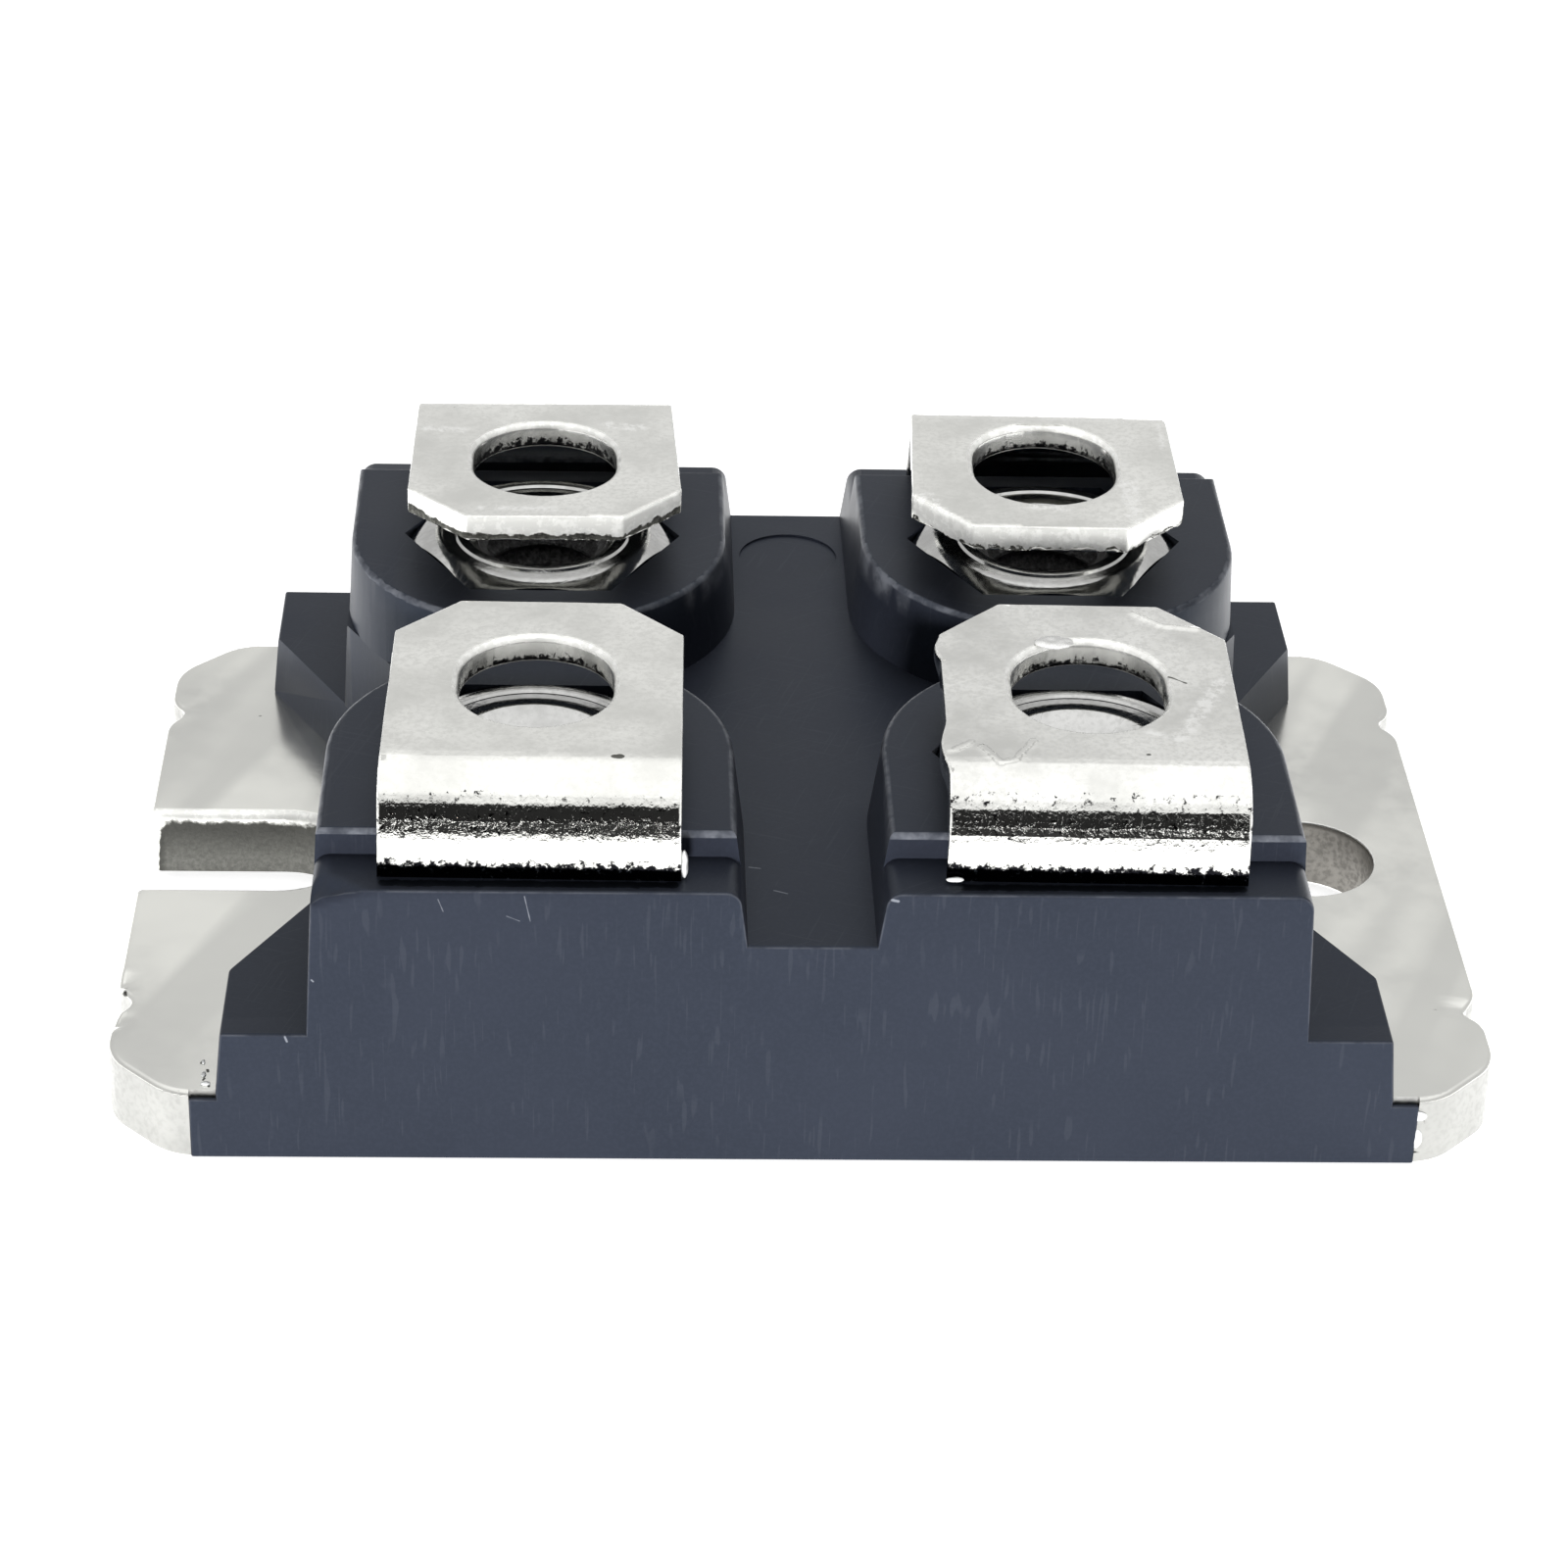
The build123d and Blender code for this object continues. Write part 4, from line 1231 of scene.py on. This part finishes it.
@dataclass
class Terminal:
    """One bent terminal strip, with die-rolled edges and a torn tip."""

    node: str
    side_x: int
    side_y: int
    seed: float
    edge: float = 0.08
    hole_edge: float = 0.2
    grid: float = 0.2
    half_width: float = 4.3
    leg_reach: float = 5.6
    thickness: float = 0.8
    bend_radius: float = 1.7
    dimple_lead: float = 0.6
    dimple_fade: float = 0.9
    dimple_least: float = 0.3
    bend_middle: float = 0.7
    tear: float = 0.12
    # The painted shade at the leg's foot and low in the hole, and the painted dark reflection band on the
    # bend
    foot_shade_reach: float = 1.0
    bend_reflection: float = 0.0
    hole_shade: float = 0.7
    finish: PlatedMetal = STRIP_PLATING
    dents: tuple[tuple[Place, float, Place], ...] = ()
    face_wave: float = 0.008
    foot_darkness: float = 0.72
    ridge_height: float = 0.035
    ridge_width: float = 0.2
    top: float = field(init=False, default=0.0)
    tip: float = field(init=False, default=0.0)
    hole_top: float = field(init=False, default=0.0)

    def outward(self, place: Vector) -> float:
        """Return how far a place lies out from the hole's axis towards the strip's leg."""
        return self.side_y * place.y - PITCH_Y / 2

    def tearing(self, place: Vector, normal: Vector) -> float:
        """Return how far down a place is on the tip's cut face, from 0 to 1."""
        facing = -self.side_y * normal.y > 0.35
        if not facing or self.outward(place) > -1.9 or place.z < TOWER_TOP:
            return 0.0
        return min(1.0, max(0.0, (self.tip - place.z) / self.thickness))

    def burnished(self, place: Vector, normal: Vector) -> float:
        """Return how much a place is rubbed, on the tip's cut face or the hole's wall."""
        if self.at_hole(place) and abs(normal.z) < 0.5:
            return 0.5
        return 0.9 if self.tearing(place, normal) > 0.0 else 0.0

    def bending(self, place: Vector, normal: Vector) -> float:
        """Return how dimpled a place is: fully near the middle of the bend, less on the leg."""
        start = self.leg_reach - self.bend_radius - self.dimple_lead
        share = min(1.0, max(0.0, self.outward(place) - start))
        middle = self.top - self.bend_middle * self.bend_radius
        near = max(0.0, 1.0 - abs(place.z - middle) / self.dimple_fade)
        level = self.dimple_least + (1.0 - self.dimple_least) * near
        return share * level if normal.y * self.side_y > -0.1 else 0.0

    def at_hole(self, place: Vector) -> bool:
        """Return whether a place is above, below or on the wall of the strip's hole."""
        beside = abs(place.x - self.side_x * PITCH_X / 2)
        return abs(self.outward(place)) < 2.6 and beside < 3.2 and place.z > TOWER_TOP

    def on_hole_rim(self, place: Vector) -> bool:
        """Return whether a place is on the upper edge of the strip's hole."""
        return self.at_hole(place) and place.z > self.hole_top - 0.25

    def painted_darkness(self, place: Vector, normal: Vector) -> float:
        """Return how much painted shade a place gets: low in the hole, at the leg's foot, and as a painted
        dark reflection band on the bend.
        """
        level = 0.0
        if self.outward(place) > self.leg_reach - 0.8:
            below = (self.top - place.z) / self.bend_radius
            level = self.bend_reflection if 0.3 < below < 1.0 else 0.0
        if self.outward(place) > self.leg_reach - 0.3:
            rise = (place.z - LEDGE_TOP) / self.foot_shade_reach
            level = max(level, min(self.foot_darkness, 1.0 - rise))
        elif self.at_hole(place) and abs(normal.z) < 0.5:
            level = self.hole_shade * (self.hole_top - place.z) / self.thickness
        return min(1.0, max(0.0, level))

    def shape(self, place: Vector, normal: Vector) -> Vector:
        """Return the move that tears the tip, waves the faces and adds this strip's dents."""
        shift = normal * -self.face_wave * (1.25 + rough_noise(place, 0.9, self.seed))
        if place.z < TOWER_TOP + 0.3:
            return Vector((0.0, 0.0, 0.0))
        if self.tearing(place, normal) > 0.6:
            ragged = 0.5 + 0.5 * rough_noise(place, 2.2, self.seed + 4.0)
            shift.y += self.side_y * self.tear * ragged
            shift.z += 0.7 * self.tear * rough_noise(place, 3.0, self.seed + 9.0)
        for centre, radius, push in self.dents:
            shift += Vector(push) * bump_at(place, centre, radius)
        if normal.z > 0.5:
            near = (ridge_at(place, ridge, self.ridge_width) for ridge in self.finish.ridges)
            shift.z += self.ridge_height * max(near, default=0.0)
        return shift

    def build(self) -> None:
        """Make the piece that stands for one packed terminal."""
        mesh = merged_copy(self.node)
        above = [vertex.co / MM for vertex in mesh.verts]
        self.top = max(place.z for place in above)
        self.tip = max(place.z for place in above if self.outward(place) < -3.8)
        self.hole_top = max(place.z for place in above if self.at_hole(place))
        round_edges(mesh, sharp_edges(mesh, 40.0, self.on_hole_rim), self.hole_edge, 4)
        round_edges(mesh, sharp_edges(mesh, 40.0, lambda place: place.z > LEDGE_TOP + 0.1), self.edge)

        def shown(place: Vector) -> bool:
            return place.z > LEDGE_TOP - 0.2

        slice_mesh(mesh, 2, (LEDGE_TOP - 0.2,))
        sides = (PITCH_X / 2 - self.half_width, PITCH_X / 2 + self.half_width)
        near, far = sorted(self.side_x * side for side in sides)
        slice_mesh(mesh, 0, steps(near, far, self.grid), shown)
        front, back = sorted((self.side_y * 1.5, self.side_y * 12.3))
        slice_mesh(mesh, 1, steps(front, back, self.grid), shown)
        slice_mesh(mesh, 2, steps(LEDGE_TOP, self.top, self.grid), shown)
        paint(mesh, Mark.SHEAR, self.tearing)
        paint(mesh, Mark.EDGE, self.burnished)
        paint(mesh, Mark.BEND, self.bending)
        paint(mesh, Mark.PAINTED_SHADE, self.painted_darkness)
        move(mesh, self.shape)
        show(mesh, f"{self.node}_strip", self.finish, self.node)


@dataclass
class NutSet:
    """Four hexagon nuts with chamfered corners and threaded bores."""

    across_flats: float = 7.0
    height: float = 3.2
    top: float = 9.4
    bore: float = 1.65
    thread_depth: float = 0.3
    thread_pitch: float = 0.7
    countersink: float = 0.55
    face_radius: float = 3.3
    turned_groove: tuple[tuple[float, float], ...] = ((3.02, 0.0), (2.96, 0.07), (2.62, 0.07), (2.56, 0.0))
    thread_turn: tuple[tuple[float, float], ...] = ((0.12, 0.0), (0.5, 1.0), (0.62, 1.0), (1.0, 0.0))
    mouth_rim: tuple[float, float] = (0.12, 0.04)
    flank_inset: float = 0.5
    chamfer: float = 30.0
    steps_round: int = 96

    def profile(self) -> list[tuple[float, float]]:
        """Return the radius and height of each point of the turned outline."""
        corner = self.across_flats / math.sqrt(3.0)
        low, high = self.top - self.height, self.top
        mouth, (widen, drop) = self.bore + self.countersink, self.mouth_rim
        points = [(corner, low + self.flank_inset), (corner, high - self.flank_inset)]
        points.append((self.face_radius, high))
        points += [(radius, high - depth) for radius, depth in self.turned_groove]
        level = high - self.countersink
        points += [(mouth + widen, high), (mouth, high - drop), (self.bore, level)]
        while level - self.thread_pitch > low + self.countersink:
            for share, depth in self.thread_turn:
                points.append((self.bore + self.thread_depth * depth, level - self.thread_pitch * share))
            level -= self.thread_pitch
        return points + [(self.bore, low + self.countersink), (mouth, low), (self.face_radius, low)]

    def hexagon(self, place: Vector, normal: Vector) -> Vector:
        """Return the move that turns the round outside into six flats with a chamfer."""
        radius = math.hypot(place.x, place.y)
        if radius < self.face_radius + 0.2:
            return Vector((0.0, 0.0, 0.0))
        angle = math.atan2(place.y, place.x)
        sixth = math.pi / 3.0
        off = (angle % sixth) - sixth / 2.0
        reach = self.across_flats / 2.0 / math.cos(off)
        drop = (reach - self.face_radius) * math.tan(math.radians(self.chamfer))
        level = self.top - drop if place.z > self.top - self.height / 2.0 else self.top - self.height + drop
        return Vector((place.x / radius * reach, place.y / radius * reach, level)) - place

    def shaded(self, place: Vector, normal: Vector) -> float:
        """Return 1 in the bores of the rear nuts, which their torn colour darkens as painted shade."""
        away = math.hypot(abs(place.x) - PITCH_X / 2, place.y - PITCH_Y / 2)
        return 1.0 if away < self.bore + self.thread_depth + 0.05 else 0.0

    def build(self) -> None:
        """Make the four nuts as one piece."""
        mesh = empty_mesh()
        points = self.profile()
        ring = [mesh.verts.new(millimetres(radius, 0.0, level)) for radius, level in points]
        edges = [mesh.edges.new((ring[index], ring[(index + 1) % len(ring)])) for index in range(len(ring))]
        bmesh.ops.spin(
            mesh,
            geom=ring + edges,
            cent=(0.0, 0.0, 0.0),
            axis=(0.0, 0.0, 1.0),
            angle=math.tau,
            steps=self.steps_round,
            use_merge=True,
        )
        bmesh.ops.remove_doubles(mesh, verts=mesh.verts, dist=0.001 * MM)
        move(mesh, self.hexagon)
        bmesh.ops.recalc_face_normals(mesh, faces=mesh.faces)
        one = mesh.verts[:] + mesh.edges[:] + mesh.faces[:]
        first, *others = [(sx * PITCH_X / 2, sy * PITCH_Y / 2) for sx in (-1, 1) for sy in (-1, 1)]
        placed = [(bmesh.ops.duplicate(mesh, geom=one)["geom"], place) for place in others]
        for geom, place in [*placed, (one, first)]:
            verts = [item for item in geom if isinstance(item, bmesh.types.BMVert)]
            bmesh.ops.translate(mesh, verts=verts, vec=millimetres(*place, 0.0))
        # The rear nuts' bores take the torn colour as painted shade
        paint(mesh, Mark.SHEAR, self.shaded)
        show(mesh, "terminal_nut_set", NUT_PLATING, "terminal_nuts")


@dataclass
class Crumb:
    """A small lump of flash or burr."""

    name: str
    centre: Place
    size: Place
    seed: float
    finish: Finish
    roughness: float = 0.36

    def shape(self, place: Vector, normal: Vector) -> Vector:
        """Return the move that makes the lump uneven."""
        return normal * self.roughness * min(self.size) * rough_noise(place, 4.0, self.seed)

    def build(self) -> None:
        """Make the lump."""
        mesh = empty_mesh()
        bmesh.ops.create_icosphere(mesh, subdivisions=4, radius=MM)
        bmesh.ops.scale(mesh, vec=self.size, verts=mesh.verts)
        bmesh.ops.translate(mesh, verts=mesh.verts, vec=millimetres(*self.centre))
        move(mesh, self.shape)
        show(mesh, self.name, self.finish)


@dataclass
class InnerParts:
    """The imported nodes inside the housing, which keep their shapes."""

    finishes: dict[str, Finish] = field(
        default_factory=lambda: {
            "copper": BARE_COPPER,
            "solder": SOLDER,
            "ceramic": CERAMIC,
            "chip": SILICON,
            "wires": WIRE,
            "wire": WIRE,
            "adhesive": ADHESIVE,
            "gel": GEL,
        }
    )

    def build(self) -> None:
        """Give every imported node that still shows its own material."""
        for name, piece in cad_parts.items():
            finish = self.finishes.get(name.rsplit("_", 1)[-1])
            if finish is None:
                continue
            piece.data.materials.clear()
            piece.data.materials.append(finish.material())
            LOG.info("%s: %s", name, finish.name)


# Stage


@dataclass
class Studio:
    """The floor, the soft light and the camera."""

    floor_size: float = 3000.0
    floor_colour: Colour = (0.9, 0.9, 0.9)
    floor_glow: float = 0.78
    floor_level: float = -0.02
    dull_ahead: tuple[float, ...] = (-39.0, -34.0, 0.02, 1.0)
    dull_beside: tuple[float, ...] = (24.0, 40.0)
    gloss_gain: float = 2.0
    ambient: float = 0.16
    overhead: tuple[float, ...] = (0.50, 0.88, 0.87, 1.45)
    dark_towards: tuple[float, ...] = (-0.3, -0.6)
    dark_below: tuple[float, ...] = (0.62, 0.5)
    dark_within: tuple[float, ...] = (0.34, 0.2)
    dark_level: float = 0.03
    lamps: tuple[tuple[str, Place, float, float], ...] = (
        ("front_softbox", (-60.0, -560.0, 42.0), 80.0, 5.6),
        ("top_softbox", (80.0, 160.0, 520.0), 300.0, 1.2),
    )
    aim: Place = (0.0, 0.0, 5.0)
    lens: float = 99.691
    sensor: float = 36.0
    clip: tuple[float, float] = (0.005, 20.0)
    camera_place: Place = (-5.2428, -109.3982, 68.5011)
    camera_turn: float = -0.0448376
    camera_tilt: float = 0.5293284
    camera_roll: float = 0.0314116

    def floor(self) -> None:
        """Make the plain pale floor."""
        mesh = bmesh.new()
        bmesh.ops.create_grid(mesh, x_segments=8, y_segments=8, size=self.floor_size * MM / 2)
        bmesh.ops.translate(mesh, verts=mesh.verts, vec=millimetres(0.0, 0.0, self.floor_level))
        data = bpy.data.meshes.new("floor")
        mesh.to_mesh(data)
        mesh.free()
        piece = bpy.data.objects.new("floor", data)
        bpy.context.scene.collection.objects.link(piece)
        data.materials.append(self.floor_material())

    def floor_material(self) -> bpy.types.Material:
        """Return the floor's material, pale to the eye and darker far in front in gloss."""
        made = bpy.data.materials.new("pale_floor")
        made.use_nodes = True
        build = Nodes(made.node_tree)
        rays = build.add("ShaderNodeLightPath")
        place = build.group(SharedEffects.PLACE, {}).outputs["Place"]
        parts = build.add("ShaderNodeSeparateXYZ", {0: place})
        ahead = build.ramp(parts.outputs["Y"], *self.dull_ahead)
        aside = build.ramp(build.math("ABSOLUTE", parts.outputs["X"]), *self.dull_beside)
        shine = build.larger(ahead, aside)
        bright = build.times(shine, self.gloss_gain)
        glow = build.mix(rays.outputs["Is Glossy Ray"], (1.0, 1.0, 1.0), bright)
        dimmed = build.mix(shine, (0.0, 0.0, 0.0), self.floor_colour)
        colour = build.mix(rays.outputs["Is Glossy Ray"], self.floor_colour, dimmed)
        plain = build.add("ShaderNodeBsdfDiffuse", {"Color": colour})
        light = build.add("ShaderNodeEmission", {"Color": glow, "Strength": self.floor_glow})
        both = build.add("ShaderNodeAddShader", {0: plain.outputs[0], 1: light.outputs[0]})
        build.add("ShaderNodeOutputMaterial", {"Surface": both.outputs[0]})
        return made

    def world(self) -> None:
        """Make the surroundings: white to the eye, soft for light, shaped for gloss."""
        world = bpy.data.worlds.new("studio")
        bpy.context.scene.world = world
        world.use_nodes = True
        build = Nodes(world.node_tree)
        rays = build.add("ShaderNodeLightPath")
        way = build.add("ShaderNodeTexCoord").outputs["Generated"]
        parts = build.add("ShaderNodeSeparateXYZ", {0: way})
        overhead = build.ramp(parts.outputs["Z"], *self.overhead)
        towards = build.ramp(parts.outputs["Y"], *self.dark_towards)
        low = build.ramp(parts.outputs["Z"], *self.dark_below)
        narrow = build.ramp(build.math("ABSOLUTE", parts.outputs["X"]), *self.dark_within)
        dark = build.times(build.times(towards, low), narrow)
        level = build.times(overhead, build.ramp(dark, 0.0, 1.0, 1.0, self.dark_level))
        tone = build.mix(rays.outputs["Is Glossy Ray"], (self.ambient,) * 3, level)
        clear = build.larger(rays.outputs["Is Camera Ray"], rays.outputs["Is Transmission Ray"])
        seen = build.mix(clear, tone, (1.0, 1.0, 1.0))
        back = build.add("ShaderNodeBackground", {"Color": seen, "Strength": 1.0})
        build.add("ShaderNodeOutputWorld", {"Surface": back.outputs[0]})

    def lamp(self, name: str, place: Place, size: float, watts: float) -> None:
        """Make one soft lamp aimed at the module, which shows in no reflection.

        Args:
            name: The lamp's name.
            place: Where it stands, in millimetres.
            size: Its side, in millimetres.
            watts: Its power.
        """
        data = bpy.data.lights.new(name, "AREA")
        data.shape = "SQUARE"
        data.size = size * MM
        data.energy = watts
        lamp = bpy.data.objects.new(name, data)
        bpy.context.scene.collection.objects.link(lamp)
        lamp.location = millimetres(*place)
        aim = millimetres(*self.aim) - lamp.location
        lamp.rotation_euler = aim.to_track_quat("-Z", "Y").to_euler()
        lamp.visible_glossy = False

    def camera(self) -> None:
        """Make the camera where the photograph was taken."""
        data = bpy.data.cameras.new("camera")
        data.lens = self.lens
        data.sensor_width = self.sensor
        data.clip_start, data.clip_end = self.clip
        eye = bpy.data.objects.new("camera", data)
        bpy.context.scene.collection.objects.link(eye)
        level = Matrix.Rotation(self.camera_turn, 3, "Z")
        ahead = level @ Vector((0.0, math.cos(self.camera_tilt), -math.sin(self.camera_tilt)))
        right = level @ Vector((1.0, 0.0, 0.0))
        up = right.cross(ahead)
        roll_cos, roll_sin = math.cos(self.camera_roll), math.sin(self.camera_roll)
        rolled_right = right * roll_cos + up * roll_sin
        rolled_up = up * roll_cos - right * roll_sin
        turn = Matrix((rolled_right, rolled_up, -ahead)).transposed()
        eye.matrix_world = Matrix.Translation(millimetres(*self.camera_place)) @ turn.to_4x4()
        bpy.context.scene.camera = eye

    def build(self) -> None:
        """Make the whole stage."""
        self.floor()
        self.world()
        for lamp in self.lamps:
            self.lamp(*lamp)
        self.camera()
        bpy.context.scene.view_settings.view_transform = "Standard"


GATE_DENTS = (
    ((3.35, -4.35, 11.2), 0.8, (-0.2, 0.0, 0.0)),
    ((3.45, -9.6, 11.0), 1.4, (-0.2, 0.0, 0.0)),
)
# The front strips carry a painted dark reflection band on their bends
TERMINALS = (
    Terminal("sense_emitter_terminal", -1, -1, 1.0, bend_reflection=0.42),
    Terminal("gate_terminal", 1, -1, 2.0, grid=0.1, bend_reflection=0.42, finish=GATE_PLATING, dents=GATE_DENTS),
    Terminal("main_emitter_terminal", -1, 1, 3.0, bend_radius=2.1, finish=MAIN_EMITTER_PLATING),
    Terminal("collector_terminal", 1, 1, 4.0, bend_radius=3.0, tear=0.2, finish=COLLECTOR_PLATING),
)
CRUMBS = (
    Crumb("foot_crumb_left", (-3.42, -11.9, 8.95), (0.1, 0.18, 0.42), 11.0, FLASH),
    Crumb("foot_crumb_right", (3.72, -12.06, 8.62), (0.24, 0.07, 0.07), 12.0, FLASH),
    Crumb("hole_burr", (6.83, -4.1, 11.45), (0.55, 0.36, 0.08), 13.0, BURR),
    Crumb("joint_crumb_front", (-16.22, -12.2, 2.08), (0.13, 0.08, 0.05), 16.0, FLASH),
    Crumb("joint_crumb_middle", (-16.3, -11.75, 2.07), (0.07, 0.13, 0.04), 17.0, FLASH),
    Crumb("joint_crumb_rear", (-16.36, -11.15, 2.07), (0.05, 0.1, 0.04), 18.0, FLASH),
    Crumb("skirt_flash_upper", (16.6, -12.58, 1.5), (0.3, 0.05, 0.16), 14.0, FLASH),
    Crumb("skirt_flash_lower", (16.68, -12.58, 0.75), (0.16, 0.05, 0.3), 15.0, FLASH),
)


def main() -> None:
    """Build the stage and every piece in order."""
    logging.basicConfig(level=logging.INFO, format="%(name)s %(message)s")
    SharedEffects().build()
    Studio().build()
    Housing().build()
    BasePlate().build()
    for terminal in TERMINALS:
        terminal.build()
    NutSet().build()
    for crumb in CRUMBS:
        crumb.build()
    InnerParts().build()


if __name__ == "__main__":
    main()
